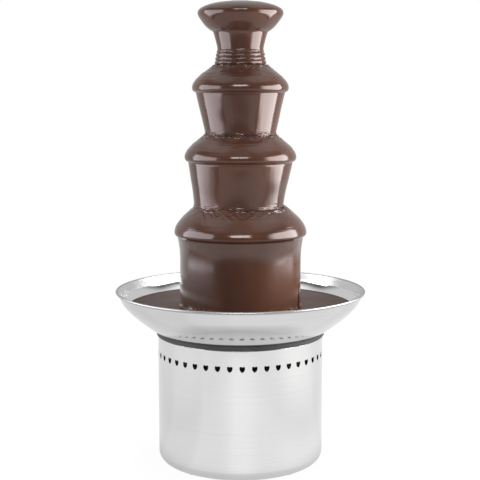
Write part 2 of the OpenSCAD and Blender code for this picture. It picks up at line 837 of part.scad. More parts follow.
module thermostat_spindle() {
    color(brass)
    on_panel(0, control_z) post(spindle_r, -panel_t - spindle_in, thermostat_bush_l + knob_l - 2);
}

module temperature_knob() {
    low = thermostat_bush_l + knob_gap;
    high = thermostat_bush_l + knob_l;
    skirt_h = 4;
    grip_half_w = 3;
    color(dark)
    on_panel(0, control_z)
    difference() {
        union() {
            turned([[0, low], [knob_r, low], [knob_r, low + skirt_h - 1], [knob_r - 1, low + skirt_h],
                [0, low + skirt_h]]);
            intersection() {
                translate([-grip_half_w, -knob_r, low]) cube([2 * grip_half_w, 2 * knob_r, high - low]);
                turned([[0, low], [knob_r - 1, low], [knob_r - 1, low + skirt_h], [knob_r - 3, high], [0, high]]);
            }
        }
        post(spindle_r + running_fit, low - 1, thermostat_bush_l + knob_l - 2);
    }
}

module cable_gland() {
    color(dark)
    on_panel(0, gland_z)
    difference() {
        union() {
            post(gland_barrel_r, -gland_in_l, 1);
            cylinder(r = gland_hex_r, h = gland_hex_h, $fn = 6);
            turned([[0, gland_hex_h - 1], [gland_cap_r, gland_hex_h - 1],
                [gland_cap_r, gland_hex_h + gland_cap_l - 3], [gland_cap_r - 3, gland_hex_h + gland_cap_l],
                [0, gland_hex_h + gland_cap_l]]);
        }
        post(gland_bore_r, -gland_in_l - 1, gland_hex_h + gland_cap_l + 1);
    }
}

module gland_nut() {
    color(dark)
    on_panel(0, gland_z)
    difference() {
        translate([0, 0, -panel_t - gland_nut_h]) cylinder(r = gland_hex_r, h = gland_nut_h, $fn = 6);
        post(gland_barrel_r + running_fit, -panel_t - gland_nut_h - 1, 0);
    }
}

module chocolate_pool() {
    hole_r = tube_flange_r + 2 * loose_fit;
    wall = bowl_points(bowl_sheet + 2 * loose_fit);
    wetted = [for (p = wall) if (p[1] > bowl_floor_z + 1 && p[1] < pool_z - 1) p];
    edge_r = lookup(pool_z, [for (p = wall) [p[1], p[0]]]);
    floor_r = lookup(bowl_floor_z, [for (p = wall) [p[1], p[0]]]) - 1;
    color(chocolate)
    turned(concat([[hole_r, bowl_floor_z], [floor_r, bowl_floor_z]], wetted,
        [[edge_r, pool_z], [hole_r, pool_z]]));
}

module drive_shaft() {
    color(steel)
    post(shaft_r, case_z + 1, shaft_top_z);
}

module output_gear() {
    hub_r = shaft_r + 4;
    color(white_plastic)
    difference() {
        union() {
            translate([0, 0, gear_high_z]) linear_extrude(output_gear_t) polygon(gear_outline(output_teeth));
            post(hub_r, case_floor_z + boss_h + face_gap, gear_high_z + 1);
        }
        post(shaft_r + running_fit, case_floor_z, plate_z);
    }
}

module drive_coupling() {
    color(steel)
    difference() {
        union() {
            post(coupling_r, coupling_z, auger_z);
            translate([0, 0, auger_z]) cylinder(r = coupling_hex_r, h = coupling_hex_h, $fn = 6);
        }
        post(shaft_r + running_fit, coupling_z - 1, shaft_top_z);
    }
}

// One ring of the flight's section at a step along the helix
function flight_section(i) =
    let (a = 360 * i / flight_steps_turn, z = flight_start_z + auger_pitch * i / flight_steps_turn,
         root_r = auger_core_r - 2, half = auger_flight_t / 2)
    [for (p = [[root_r, -half], [auger_r, -half], [auger_r, half], [root_r, half]])
        [p[0] * cos(a), p[0] * sin(a), z + p[1]]];

module auger_flight() {
    points = [for (i = [0 : flight_steps]) for (p = flight_section(i)) p];
    last = 4 * flight_steps;
    sides = [for (i = [0 : flight_steps - 1]) for (j = [0 : 3])
        let (a = 4 * i + j, b = 4 * i + (j + 1) % 4)
        for (t = [[a, b, a + 4], [b, b + 4, a + 4]]) t];
    ends = [[0, 2, 1], [0, 3, 2], [last, last + 1, last + 2], [last, last + 2, last + 3]];
    polyhedron(points, concat(sides, ends));
}

module auger() {
    color(white_plastic)
    difference() {
        union() {
            turned([[0, auger_z], [auger_core_r, auger_z], [auger_core_r, auger_top_z - 4],
                [auger_core_r - 3, auger_top_z], [0, auger_top_z]]);
            auger_flight();
        }
        translate([0, 0, auger_z - 1])
            cylinder(r = coupling_hex_r + loose_fit, h = coupling_hex_h + 1 + loose_fit, $fn = 6);
    }
}

module cluster_gear() {
    small_end_z = gear_high_z + output_gear_t + 1;
    color(white_plastic)
    translate([cluster_x, 0, 0])
    difference() {
        union() {
            translate([0, 0, gear_low_z])
            rotate(motor_angle)
            linear_extrude(cluster_gear_t) polygon(gear_outline(cluster_large_teeth));
            translate([0, 0, gear_low_z + 1])
            rotate(180 + 180 / cluster_small_teeth)
            linear_extrude(small_end_z - gear_low_z - 1) polygon(gear_outline(cluster_small_teeth));
            post(pin_r + 2, case_floor_z + face_gap, gear_low_z + 1);
            post(pin_r + 2, small_end_z - 1, plate_z - face_gap);
        }
        post(pin_r + running_fit, case_floor_z, plate_z);
    }
}

module motor_shaft() {
    color(steel)
    translate(motor_at) post(pin_r, case_z - 14, gear_low_z + cluster_gear_t + 1);
}

module motor_pinion() {
    color(brass)
    translate(motor_at)
    difference() {
        translate([0, 0, gear_low_z])
        rotate(motor_angle + 180 + 180 / motor_teeth)
        linear_extrude(cluster_gear_t) polygon(gear_outline(motor_teeth));
        post(pin_r + running_fit, gear_low_z - 1, plate_z);
    }
}

module tower_tube() {
    flange_top_z = tube_foot_z + tube_flange_t;
    collar_t = 5;
    color(steel)
    difference() {
        turned([[tube_in_r, tube_foot_z], [tube_flange_r, tube_foot_z], [tube_flange_r, flange_top_z],
            [tube_r, flange_top_z], [tube_r, collar_z - 2 * collar_t], [collar_r, collar_z - collar_t],
            [collar_r, collar_z], [tube_r, collar_z], [tube_r, tube_top_z], [tube_in_r, tube_top_z]]);
        round_about(rod_angles, stud_pitch_r) post(stud_pin_r + loose_fit, tube_foot_z - 1, flange_top_z + 1);
    }
}

// A tier: a dome with a turned-down lip, on a sleeve that stands on the piece below
module tier_shell(tier, seat_z) {
    top_z = sleeve_top_z(tier);
    lip_r = tier[0] - film - 1;
    lip_z = tier[1] - tier_lip;
    color(steel)
    turned(concat(
        [[sleeve_in_r, seat_z], [sleeve_in_r, top_z], [sleeve_r, top_z]],
        reversed(dome_points(tier, film)),
        [[lip_r, lip_z], [lip_r - tier_sheet, lip_z]],
        dome_points(tier, film + tier_sheet),
        [[sleeve_r, top_z - tier_sheet], [sleeve_r, seat_z]]));
}

// The chocolate on a tier: a film over its dome that rolls under the rim and falls as a curtain
module chocolate_skin(tier, wet_r, foot) {
    skin_inset = film - loose_fit;
    fall_top = [tier[0] - roll_in, tier[1] - roll_h];
    lip_r = tier[0] - film - 1;
    under_z = tier[1] - tier_lip - loose_fit;
    thick = [curtain_t, 0];
    roll = [for (i = [1 : curve_steps - 1])
        let (v = i / curve_steps)
        [tier[0] - roll_in * pow(v, roll_bend), tier[1] - roll_h * v]];
    color(chocolate)
    turned(concat(
        [[wet_r, wet_z(tier, wet_r)]],
        reversed(dome_points(tier, 0)),
        roll,
        reversed(fall_points(foot, fall_top, curtain_bend)),
        fall_points(foot - thick, fall_top - thick, curtain_bend),
        [[lip_r - tier_sheet - loose_fit, under_z], [lip_r + loose_fit, under_z]],
        dome_points(tier, skin_inset),
        [[wet_r, wet_z(tier, wet_r) - skin_inset]]));
}

// The foot of a curtain that lands on the tier below it
function landing(tier, foot_r) = [foot_r, wet_z(tier, foot_r - curtain_t) + face_gap];

module tier_lower() {
    tier_shell(lower_tier, collar_z);
}

module tier_middle() {
    tier_shell(middle_tier, sleeve_top_z(lower_tier));
}

module tier_upper() {
    tier_shell(upper_tier, sleeve_top_z(middle_tier));
}

module chocolate_lower() {
    chocolate_skin(lower_tier, middle_foot_r - 4 * curtain_t, [lower_foot_r, pool_z + face_gap]);
}

module chocolate_middle() {
    chocolate_skin(middle_tier, upper_foot_r - 4 * curtain_t, landing(lower_tier, middle_foot_r));
}

module chocolate_upper() {
    chocolate_skin(upper_tier, neck_foot_r - 2 * curtain_t, landing(middle_tier, upper_foot_r));
}

module crown() {
    rim = cup_points(0, curve_steps)[0];
    color(steel)
    turned(concat(
        [[sleeve_in_r, cup_foot_z - crown_sleeve_l], [sleeve_r, cup_foot_z - crown_sleeve_l],
         [sleeve_r, cup_foot_z]],
        cup_points(0, 0),
        [[rim[0] - tier_sheet, rim[1]]],
        reversed(cup_points(-tier_sheet, 1)),
        [[crown_neck_r - film, cup_foot_z + tier_sheet], [tube_in_r, cup_foot_z + tier_sheet],
         [tube_in_r, cup_foot_z], [sleeve_in_r, cup_foot_z]]));
}

// The chocolate in the crown's cup, over its rim and down its outside to the upper tier
module chocolate_crown() {
    cup_rim = cup_points(0, curve_steps)[0];
    fill_z = cup_foot_z + tier_sheet + loose_fit;
    foot = landing(upper_tier, neck_foot_r);
    waist = [neck_waist_r, waist_z];
    thick = [curtain_t, 0];
    dome = [for (i = [0 : curve_steps])
        let (a = 90 - 90 * i / curve_steps)
        [crown_r * cos(a), crown_rim_z + crown_dome_h * sin(a)]];
    neck = [crown_neck_r, cup_foot_z - loose_fit];
    color(chocolate)
    turned(concat(
        dome,
        reversed(cup_points(film, 0)),
        reversed(fall_points(waist, neck, curtain_bend)),
        [foot, foot - thick],
        fall_points(waist - thick, neck - thick, curtain_bend),
        [[crown_neck_r - film + loose_fit, cup_foot_z - loose_fit]],
        cup_points(loose_fit, 0),
        [cup_rim + [loose_fit, loose_fit], cup_rim + [-tier_sheet - loose_fit, loose_fit]],
        reversed(cup_points(-tier_sheet - loose_fit, 1)),
        [[crown_neck_r - film, fill_z], [0, fill_z]]));
}

base_shell();
base_plate();
rubber_feet();
seat_ring();
bowl();
tower_studs();
bowl_bush();
bush_nut();
shaft_seal();
tie_rods();
rod_nuts();
motor_plate();
plate_bush();
gearbox_case();
gearbox_screws();
motor_can();
motor_screws();
cluster_axle();
heat_spreader();
heating_element();
heater_clamps();
control_panel();
motor_switch_body();
heater_switch_body();
thermostat_body();
cable_gland();
gland_nut();
chocolate_pool();
drive_shaft();
output_gear();
drive_coupling();
auger();
cluster_gear();
motor_shaft();
motor_pinion();
motor_rocker();
heater_rocker();
thermostat_spindle();
temperature_knob();
tower_tube();
tier_lower();
chocolate_lower();
tier_middle();
chocolate_middle();
tier_upper();
chocolate_upper();
crown();
chocolate_crown();
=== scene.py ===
# %% [markdown]
# # A chocolate fountain, dressed for its portrait
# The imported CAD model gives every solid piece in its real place. This lesson loads it, sets up the camera
# and the studio, makes the running chocolate and the pressed steel sheet with smoother meshes than the
# CAD holds, and gives every piece a finish made of shader nodes. All lengths are metres, and the front of
# the fountain faces -Y.

# %% Load the frame
import json
import math

import bmesh
import bpy
import numpy as np
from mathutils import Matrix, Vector


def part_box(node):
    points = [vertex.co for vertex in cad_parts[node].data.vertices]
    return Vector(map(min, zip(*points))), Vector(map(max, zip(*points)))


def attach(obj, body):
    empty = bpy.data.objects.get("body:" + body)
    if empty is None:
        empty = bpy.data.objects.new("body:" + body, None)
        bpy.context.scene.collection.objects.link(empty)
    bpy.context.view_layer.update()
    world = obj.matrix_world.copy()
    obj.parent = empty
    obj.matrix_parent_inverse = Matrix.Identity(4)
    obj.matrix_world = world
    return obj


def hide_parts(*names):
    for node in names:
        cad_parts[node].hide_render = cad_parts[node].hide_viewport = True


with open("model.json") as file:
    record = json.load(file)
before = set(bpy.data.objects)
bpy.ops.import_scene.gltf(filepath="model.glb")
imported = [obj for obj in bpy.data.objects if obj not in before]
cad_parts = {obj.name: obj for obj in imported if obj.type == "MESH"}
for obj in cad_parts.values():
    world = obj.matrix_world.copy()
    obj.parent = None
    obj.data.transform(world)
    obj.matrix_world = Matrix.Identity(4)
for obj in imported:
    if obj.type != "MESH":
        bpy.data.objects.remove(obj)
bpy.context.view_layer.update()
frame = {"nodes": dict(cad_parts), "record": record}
MM = 0.001

# %% [markdown]
# ## The camera
# The photograph was taken a little above the tower's middle, looking slightly down. Its distance, height,
# tilt and lens were fitted to the ellipses of the rims, the bowl and the row of vents, so the picture's
# lines fall in place.

# %% Camera
IMAGE_PX = 480
FOCAL_PX = 1105.0
CAMERA_BACK = 1.537
CAMERA_UP = 0.5151
CAMERA_SIDE = -0.00056
CAMERA_TILT = math.radians(7.36)
SENSOR_MM = 36.0


def add_object(name, data):
    made = bpy.data.objects.new(name, data)
    bpy.context.scene.collection.objects.link(made)
    return made


camera_data = bpy.data.cameras.new("portrait_camera")
camera_data.sensor_width = SENSOR_MM
camera_data.lens = camera_data.sensor_width * FOCAL_PX / IMAGE_PX
camera = add_object("portrait_camera", camera_data)
camera.location = (CAMERA_SIDE, -CAMERA_BACK, CAMERA_UP)
camera.rotation_euler = (math.pi / 2 - CAMERA_TILT, 0, 0)
bpy.context.scene.camera = camera
bpy.context.scene.view_settings.view_transform = "Standard"
print("lens", round(camera_data.lens, 2), "mm")

# %% [markdown]
# ## Wiring nodes
# Every finish below is a small graph of shader nodes. A helper that makes a node, sets its properties,
# fills its inputs and links other nodes' outputs into it keeps each graph short enough to read.

# %% Node helpers
def add_node(tree, kind, inputs=None, **settings):
    made = tree.nodes.new(kind)
    for name, value in settings.items():
        setattr(made, name, value)
    for key, value in (inputs or {}).items():
        if isinstance(value, bpy.types.NodeSocket):
            tree.links.new(value, made.inputs[key])
        else:
            made.inputs[key].default_value = value
    return made


def maths(tree, operation, *values):
    return add_node(tree, "ShaderNodeMath", dict(enumerate(values)), operation=operation).outputs[0]


def remap(tree, value, low, high, to_low=0.0, to_high=1.0, smooth=False):
    ranges = {"Value": value, "From Min": low, "From Max": high, "To Min": to_low, "To Max": to_high}
    kind = "SMOOTHSTEP" if smooth else "LINEAR"
    return add_node(tree, "ShaderNodeMapRange", ranges, interpolation_type=kind).outputs["Result"]


# The Mix node has a pair of A and B sockets for each data type, so colours go in by position.
def blend_colours(tree, share, first, second):
    mixed = add_node(tree, "ShaderNodeMix", {0: share, 6: first, 7: second}, data_type="RGBA")
    return mixed.outputs[2]


def noise(tree, place, scale, detail):
    inputs = {"Vector": place, "Scale": scale, "Detail": detail}
    return add_node(tree, "ShaderNodeTexNoise", inputs).outputs["Fac"]


def grey(level):
    return (level, level, level, 1.0)


DEGREES = 180 / math.pi
print("node helpers ready")

# %% [markdown]
# ## The studio
# The reflections tell how the fountain was lit: a white table that ends less than a metre in front, a
# tall white panel at each side of it, the right one brighter, a small box light above the camera, a
# ceiling that is paler at the sides, darkness in front and a dim wall behind. What is far away is painted
# on the sky by direction, which gives soft light with little noise. The camera itself sees a plain
# backdrop: white behind the photographed side, as in the photograph, and pale grey elsewhere, so that
# bright edges still stand out when the fountain is seen from another side.

# %% World
CEILING_LIGHT, CEILING_SIDE_LIGHT = 0.38, 0.65
CEILING_SIDES, CEILING_EDGE = (45, 120), (38, 56)
FRONT_BOX_LIGHT = 14.0
FRONT_BOX_TURN, FRONT_BOX_RISE = (-30, 18), (18, 30)
FRONT_LIGHT, BACK_LIGHT, BACK_TURN = 0.1, 0.66, (104, 126)
WALL_WHITE, WHITE_TURN = 0.84, (138, 160)

world = bpy.data.worlds.new("studio")
bpy.context.scene.world = world
world.use_nodes = True
sky = world.node_tree
sky.nodes.clear()
heading = add_node(sky, "ShaderNodeTexCoord").outputs["Generated"]
axes = add_node(sky, "ShaderNodeSeparateXYZ", {0: heading})
turn = maths(sky, "ARCTAN2", axes.outputs["X"], maths(sky, "MULTIPLY", axes.outputs["Y"], -1.0))
turn = maths(sky, "MULTIPLY", turn, DEGREES)
turn_off = maths(sky, "ABSOLUTE", turn)
rise = maths(sky, "MULTIPLY", maths(sky, "ARCSINE", axes.outputs["Z"]), DEGREES)


def window(value, low, high, edge):
    opens = remap(sky, value, low - edge, low + edge, smooth=True)
    shuts = remap(sky, value, high - edge, high + edge, 1.0, 0.0, smooth=True)
    return maths(sky, "MULTIPLY", opens, shuts)


box_across = window(turn_off, *FRONT_BOX_TURN, 1.5)
front_box = maths(sky, "MULTIPLY", box_across, window(rise, *FRONT_BOX_RISE, 1.0))
ceiling = remap(sky, rise, *CEILING_EDGE, smooth=True)
light = remap(sky, turn_off, *BACK_TURN, FRONT_LIGHT, BACK_LIGHT, smooth=True)
light = maths(sky, "MULTIPLY_ADD", front_box, FRONT_BOX_LIGHT, light)
sides = window(turn_off, *CEILING_SIDES, 12)
over = maths(sky, "MULTIPLY_ADD", sides, CEILING_SIDE_LIGHT, CEILING_LIGHT)
light = maths(sky, "MULTIPLY_ADD", ceiling, over, light)
studio = add_node(sky, "ShaderNodeBackground", {"Color": grey(1.0), "Strength": light})
wall = remap(sky, turn_off, *WHITE_TURN, WALL_WHITE, 1.0, smooth=True)
backdrop = add_node(sky, "ShaderNodeBackground", {"Color": grey(1.0), "Strength": wall})
seen = add_node(sky, "ShaderNodeLightPath").outputs["Is Camera Ray"]
shown = add_node(sky, "ShaderNodeMixShader", {0: seen, 1: studio.outputs[0], 2: backdrop.outputs[0]})
add_node(sky, "ShaderNodeOutputWorld", {"Surface": shown.outputs[0]})
print("sky painted:", len(sky.nodes), "nodes")

# %% [markdown]
# The table and the two panels are near enough for their places to matter: each level of the tower mirrors
# another part of them. They are plain sheets, and they are stage, not part of the fountain. The table's
# light is painted on it as a glow: the glow changes in steps from left to right, which the drum shows as
# faint upright bands, and a painted shadow makes it weaker round the drum's foot. To the camera the table
# is white where the photograph looks, and fades to the walls' grey towards its sides and front.

# %% Table
TABLE_HALF_W, TABLE_FRONT_Y, TABLE_BACK_Y = 1.25, -0.985, 1.2
TABLE_GLOW = 0.74
TABLE_SHADE, SHADE_REACH = 0.75, (0.12, 0.2)
GLOW_STEPS, STEP_EDGE = ((-97, 0.05), (-49, 0.055), (-11, 0.035), (25, 0.015), (108, -0.05)), 3
TABLE_WHITE, WHITE_HALF_W, WHITE_Y = 1.03, (0.65, 1.0), (-0.6, -0.15)
SEEN_SHARE = 0.88


def stage_sheet(name, corners, finish):
    mesh = bpy.data.meshes.new(name)
    mesh.from_pydata(corners, [], [(0, 1, 2, 3)])
    mesh.materials.append(finish)
    sheet = add_object(name, mesh)
    return sheet


table_finish = bpy.data.materials.new("table_white")
table_finish.use_nodes = True
tree = table_finish.node_tree
matt = tree.nodes["Principled BSDF"]
grain = add_node(tree, "ShaderNodeTexNoise", {"Scale": 40.0, "Detail": 3.0})
paint = blend_colours(tree, grain.outputs["Fac"], grey(0.02), grey(0.022))
tree.links.new(paint, matt.inputs["Base Color"])
matt.inputs["Roughness"].default_value = 0.7
matt.inputs["Emission Color"].default_value = grey(1.0)
place = add_node(tree, "ShaderNodeTexCoord").outputs["Object"]
spot = add_node(tree, "ShaderNodeSeparateXYZ", {0: place})
bearing = maths(tree, "ARCTAN2", spot.outputs["X"], maths(tree, "MULTIPLY", spot.outputs["Y"], -1.0))
bearing = maths(tree, "MULTIPLY", bearing, DEGREES)
# Painted light: the table's emission stands in for the light falling on it, in steps from left to right.
glow = TABLE_GLOW
for middle_turn, step in GLOW_STEPS:
    edge = (middle_turn - STEP_EDGE, middle_turn + STEP_EDGE)
    glow = maths(tree, "ADD", glow, remap(tree, bearing, *edge, 0.0, step, smooth=True))
# Painted shadow: the glow is dimmed round the drum's foot.
reach = add_node(tree, "ShaderNodeVectorMath", {0: place}, operation="LENGTH").outputs["Value"]
shaded = remap(tree, reach, *SHADE_REACH, TABLE_SHADE, 1.0, smooth=True)
tree.links.new(maths(tree, "MULTIPLY", glow, shaded), matt.inputs["Emission Strength"])
sideways = maths(tree, "ABSOLUTE", spot.outputs["X"])
behind = maths(tree, "MULTIPLY", remap(tree, sideways, *WHITE_HALF_W, 1.0, 0.0, smooth=True),
               remap(tree, spot.outputs["Y"], *WHITE_Y, smooth=True))
whiteness = remap(tree, behind, 0.0, 1.0, WALL_WHITE, TABLE_WHITE)
lit = add_node(tree, "ShaderNodeEmission", {"Color": grey(1.0), "Strength": whiteness})
seen = add_node(tree, "ShaderNodeLightPath").outputs["Is Camera Ray"]
share = maths(tree, "MULTIPLY", seen, SEEN_SHARE)
mixed = add_node(tree, "ShaderNodeMixShader", {0: share, 1: matt.outputs[0], 2: lit.outputs[0]})
tree.links.new(mixed.outputs[0], tree.nodes["Material Output"].inputs["Surface"])
stage_sheet("table", [(-TABLE_HALF_W, TABLE_FRONT_Y, 0), (TABLE_HALF_W, TABLE_FRONT_Y, 0),
                      (TABLE_HALF_W, TABLE_BACK_Y, 0), (-TABLE_HALF_W, TABLE_BACK_Y, 0)], table_finish)
print("table", 2 * TABLE_HALF_W, "m wide")

# %% [markdown]
# The panels lean outwards, fade towards their foot and their front, and are hidden from the camera, so
# only their light and their reflections are seen. The right one is brighter and a little warmer.

# %% Side panels
PANEL_LOW_X, PANEL_LOW_Z = 0.5, 0.17
PANEL_TOP_X, PANEL_TOP_Z = 1.4, 1.1
PANEL_FRONT, PANEL_BACK = -0.95, 0.36
PANELS = (
    {"name": "panel_left", "side": -1, "light": 5.2, "tint": (0.99, 0.98, 1.03, 1),
     "foot": (0.185, 0.265), "front": (-0.95, -0.9)},
    {"name": "panel_right", "side": 1, "light": 10.0, "tint": (1.02, 0.99, 0.97, 1),
     "foot": (0.186, 0.236), "front": (-1.0, -0.5)})
for row in PANELS:
    glow = bpy.data.materials.new("panel_glow")
    glow.use_nodes = True
    tree = glow.node_tree
    tree.nodes.clear()
    place = add_node(tree, "ShaderNodeTexCoord").outputs["Object"]
    spot = add_node(tree, "ShaderNodeSeparateXYZ", {0: place})
    fade = remap(tree, spot.outputs["Z"], *row["foot"], 0.0, row["light"], smooth=True)
    forward = maths(tree, "DIVIDE", spot.outputs["Y"], maths(tree, "ABSOLUTE", spot.outputs["X"]))
    fade = maths(tree, "MULTIPLY", fade, remap(tree, forward, *row["front"], smooth=True))
    shine = add_node(tree, "ShaderNodeEmission", {"Color": row["tint"], "Strength": fade})
    add_node(tree, "ShaderNodeOutputMaterial", {"Surface": shine.outputs[0]})
    corners = [(row["side"] * x, x * share, z) for x, z, share in (
        (PANEL_LOW_X, PANEL_LOW_Z, PANEL_FRONT), (PANEL_LOW_X, PANEL_LOW_Z, PANEL_BACK),
        (PANEL_TOP_X, PANEL_TOP_Z, PANEL_BACK), (PANEL_TOP_X, PANEL_TOP_Z, PANEL_FRONT))]
    panel = stage_sheet(row["name"], corners, glow)
    panel.visible_camera = False
    panel.visible_shadow = False
print("panels from", PANEL_LOW_X, "to", PANEL_TOP_X, "m out on each side")

# %% [markdown]
# ## Shared surface effects
# Three effects come back on many pieces, so each is a node group with its own inputs. `turned_lines`
# gives the fine rings that a lathe or a brushing belt leaves round the axis. `fine_mottle` gives the
# uneven skin of moulded and cast surfaces. `edge_wear` finds the outer edges, where handling polishes a
# piece.

# %% Node groups
def new_group(name, inputs, outputs):
    group = bpy.data.node_groups.new(name, "ShaderNodeTree")
    for label, value in inputs.items():
        socket = group.interface.new_socket(label, in_out="INPUT", socket_type="NodeSocketFloat")
        socket.default_value = value
    for label in outputs:
        group.interface.new_socket(label, in_out="OUTPUT", socket_type="NodeSocketFloat")
    return group, group.nodes.new("NodeGroupInput").outputs, group.nodes.new("NodeGroupOutput").inputs


def place_group(tree, group, **values):
    return add_node(tree, "ShaderNodeGroup", {k.replace("_", " "): v for k, v in values.items()},
                    node_tree=group).outputs


LINE_INPUTS = {"Fineness": 1500.0, "Length": 4.0, "Radius share": 1.0}
turned_lines, given, out = new_group("turned_lines", LINE_INPUTS, ["Line"])
spot = add_node(turned_lines, "ShaderNodeTexCoord").outputs["Object"]
xyz = add_node(turned_lines, "ShaderNodeSeparateXYZ", {0: spot})
squares = [maths(turned_lines, "MULTIPLY", xyz.outputs[k], xyz.outputs[k]) for k in (0, 1)]
across = maths(turned_lines, "SQRT", maths(turned_lines, "ADD", *squares))
level = maths(turned_lines, "MULTIPLY_ADD", across, given["Radius share"], xyz.outputs[2])
stretched = add_node(turned_lines, "ShaderNodeCombineXYZ", {
    0: maths(turned_lines, "MULTIPLY", xyz.outputs[0], given["Length"]),
    1: maths(turned_lines, "MULTIPLY", xyz.outputs[1], given["Length"]),
    2: maths(turned_lines, "MULTIPLY", level, given["Fineness"])})
turned_lines.links.new(noise(turned_lines, stretched.outputs[0], 1.0, 4.0), out["Line"])

fine_mottle, given, out = new_group("fine_mottle", {"Size": 600.0, "Patch size": 25.0}, ["Grain", "Patch"])
spot = add_node(fine_mottle, "ShaderNodeTexCoord").outputs["Object"]
fine_mottle.links.new(noise(fine_mottle, spot, given["Size"], 3.0), out["Grain"])
fine_mottle.links.new(noise(fine_mottle, spot, given["Patch size"], 2.0), out["Patch"])

edge_wear, given, out = new_group("edge_wear", {"Start": 0.54, "Full": 0.68}, ["Worn"])
sharp = add_node(edge_wear, "ShaderNodeNewGeometry").outputs["Pointiness"]
rubbed = add_node(edge_wear, "ShaderNodeMapRange",
                  {"Value": sharp, "From Min": given["Start"], "From Max": given["Full"]})
edge_wear.links.new(rubbed.outputs["Result"], out["Worn"])
print("groups:", [g.name for g in bpy.data.node_groups])

# %% [markdown]
# ## Finishes for the metal
# All the sheet steel is one alloy with different last steps: the drum is brushed round, the bowl is brushed
# outside and polished inside, with a satin lip and a darker satin bead, and the tower's parts are polished.
# Brushed lines go into colour, roughness and a very low bump. Each steel on the outside keeps its roughness
# on one side of 0.27, because a fast render draws a thin line wherever the roughness crosses that value.

# %% Steel
finishes = {}


def new_finish(name, metallic=0.0, **constants):
    finish = bpy.data.materials.new(name)
    finish.use_nodes = True
    shader = finish.node_tree.nodes["Principled BSDF"]
    shader.inputs["Metallic"].default_value = metallic
    for label, value in constants.items():
        shader.inputs[label.replace("_", " ")].default_value = value
    finishes[name] = finish
    return finish, finish.node_tree, shader


def bump(tree, shader, height, strength, distance):
    inputs = {"Height": height, "Strength": strength, "Distance": distance}
    raised = add_node(tree, "ShaderNodeBump", inputs)
    tree.links.new(raised.outputs[0], shader.inputs["Normal"])


def turned_metal(name, dark, pale, smooth, rough, fineness, relief, share=1.0, **constants):
    finish, tree, shader = new_finish(name, 1.0, **constants)
    line = place_group(tree, turned_lines, Fineness=fineness, Length=5.0, Radius_share=share)["Line"]
    patch = place_group(tree, fine_mottle, Patch_size=14.0)["Patch"]
    tone = maths(tree, "MULTIPLY_ADD", patch, 0.35, maths(tree, "MULTIPLY", line, 0.65))
    shade = blend_colours(tree, remap(tree, tone, 0.3, 0.7), dark, pale)
    tree.links.new(shade, shader.inputs["Base Color"])
    tree.links.new(remap(tree, tone, 0.3, 0.7, smooth, rough), shader.inputs["Roughness"])
    bump(tree, shader, line, relief, 0.0002)
    return finish


# Each row: dark, pale, lowest and highest roughness, fineness of the lines, relief.
turned_metal("drum_steel", grey(0.72), grey(0.79), 0.1, 0.14, 2600.0, 0.03, Anisotropic=0.3)
turned_metal("bowl_steel", grey(0.66), grey(0.73), 0.09, 0.14, 1800.0, 0.025, Anisotropic=0.3)
turned_metal("bowl_polish", grey(0.8), grey(0.85), 0.1, 0.15, 1500.0, 0.02)
turned_metal("rim_satin", grey(0.72), grey(0.78), 0.3, 0.38, 1500.0, 0.02)
turned_metal("bead_satin", grey(0.4), grey(0.46), 0.3, 0.36, 1500.0, 0.02)
turned_metal("tower_steel", grey(0.66), grey(0.74), 0.14, 0.24, 1500.0, 0.03, share=-0.4)
turned_metal("plain_steel", grey(0.48), grey(0.58), 0.28, 0.42, 1800.0, 0.05)
turned_metal("bush_brass", (0.62, 0.43, 0.17, 1), (0.72, 0.53, 0.24, 1), 0.2, 0.32, 2200.0, 0.05)
print("metals:", sorted(finishes))

# %% [markdown]
# ## Finishes for plastic, rubber, castings and paint
# Moulded plastic has a fine even texture and slightly polished edges. Cast aluminium is coarser. The
# motor's paint and the heater's sheath have soft patches. One recipe with different values makes them
# all.

# %% Moulded and cast finishes
def moulded(name, dark, pale, worn, smooth, rough, grain_size, relief, metallic=0.0, **constants):
    finish, tree, shader = new_finish(name, metallic, **constants)
    skin = place_group(tree, fine_mottle, Size=grain_size, Patch_size=30.0)
    rub = place_group(tree, edge_wear)["Worn"]
    body = blend_colours(tree, remap(tree, skin["Patch"], 0.35, 0.65), dark, pale)
    edge = maths(tree, "MULTIPLY", rub, 0.6)
    tree.links.new(blend_colours(tree, edge, body, worn), shader.inputs["Base Color"])
    tone = remap(tree, skin["Grain"], 0.3, 0.7, smooth, rough)
    tree.links.new(tone, shader.inputs["Roughness"])
    bump(tree, shader, skin["Grain"], relief, 0.0003)
    return finish


SHEATH_DARK, SHEATH_PALE = (0.06, 0.052, 0.046, 1), (0.11, 0.09, 0.075, 1)
PAINT_DARK, PAINT_PALE = (0.03, 0.032, 0.036, 1), (0.042, 0.044, 0.05, 1)
RED_DARK, RED_PALE, RED_WORN = (0.33, 0.012, 0.01, 1), (0.4, 0.018, 0.014, 1), (0.5, 0.08, 0.06, 1)
NYLON_DARK, NYLON_PALE = (0.68, 0.67, 0.62, 1), (0.76, 0.75, 0.71, 1)
# Each row: dark, pale, worn edge, lowest and highest roughness, fineness of the grain, relief.
moulded("ring_plastic", grey(0.018), grey(0.026), grey(0.06), 0.42, 0.58, 1400.0, 0.1)
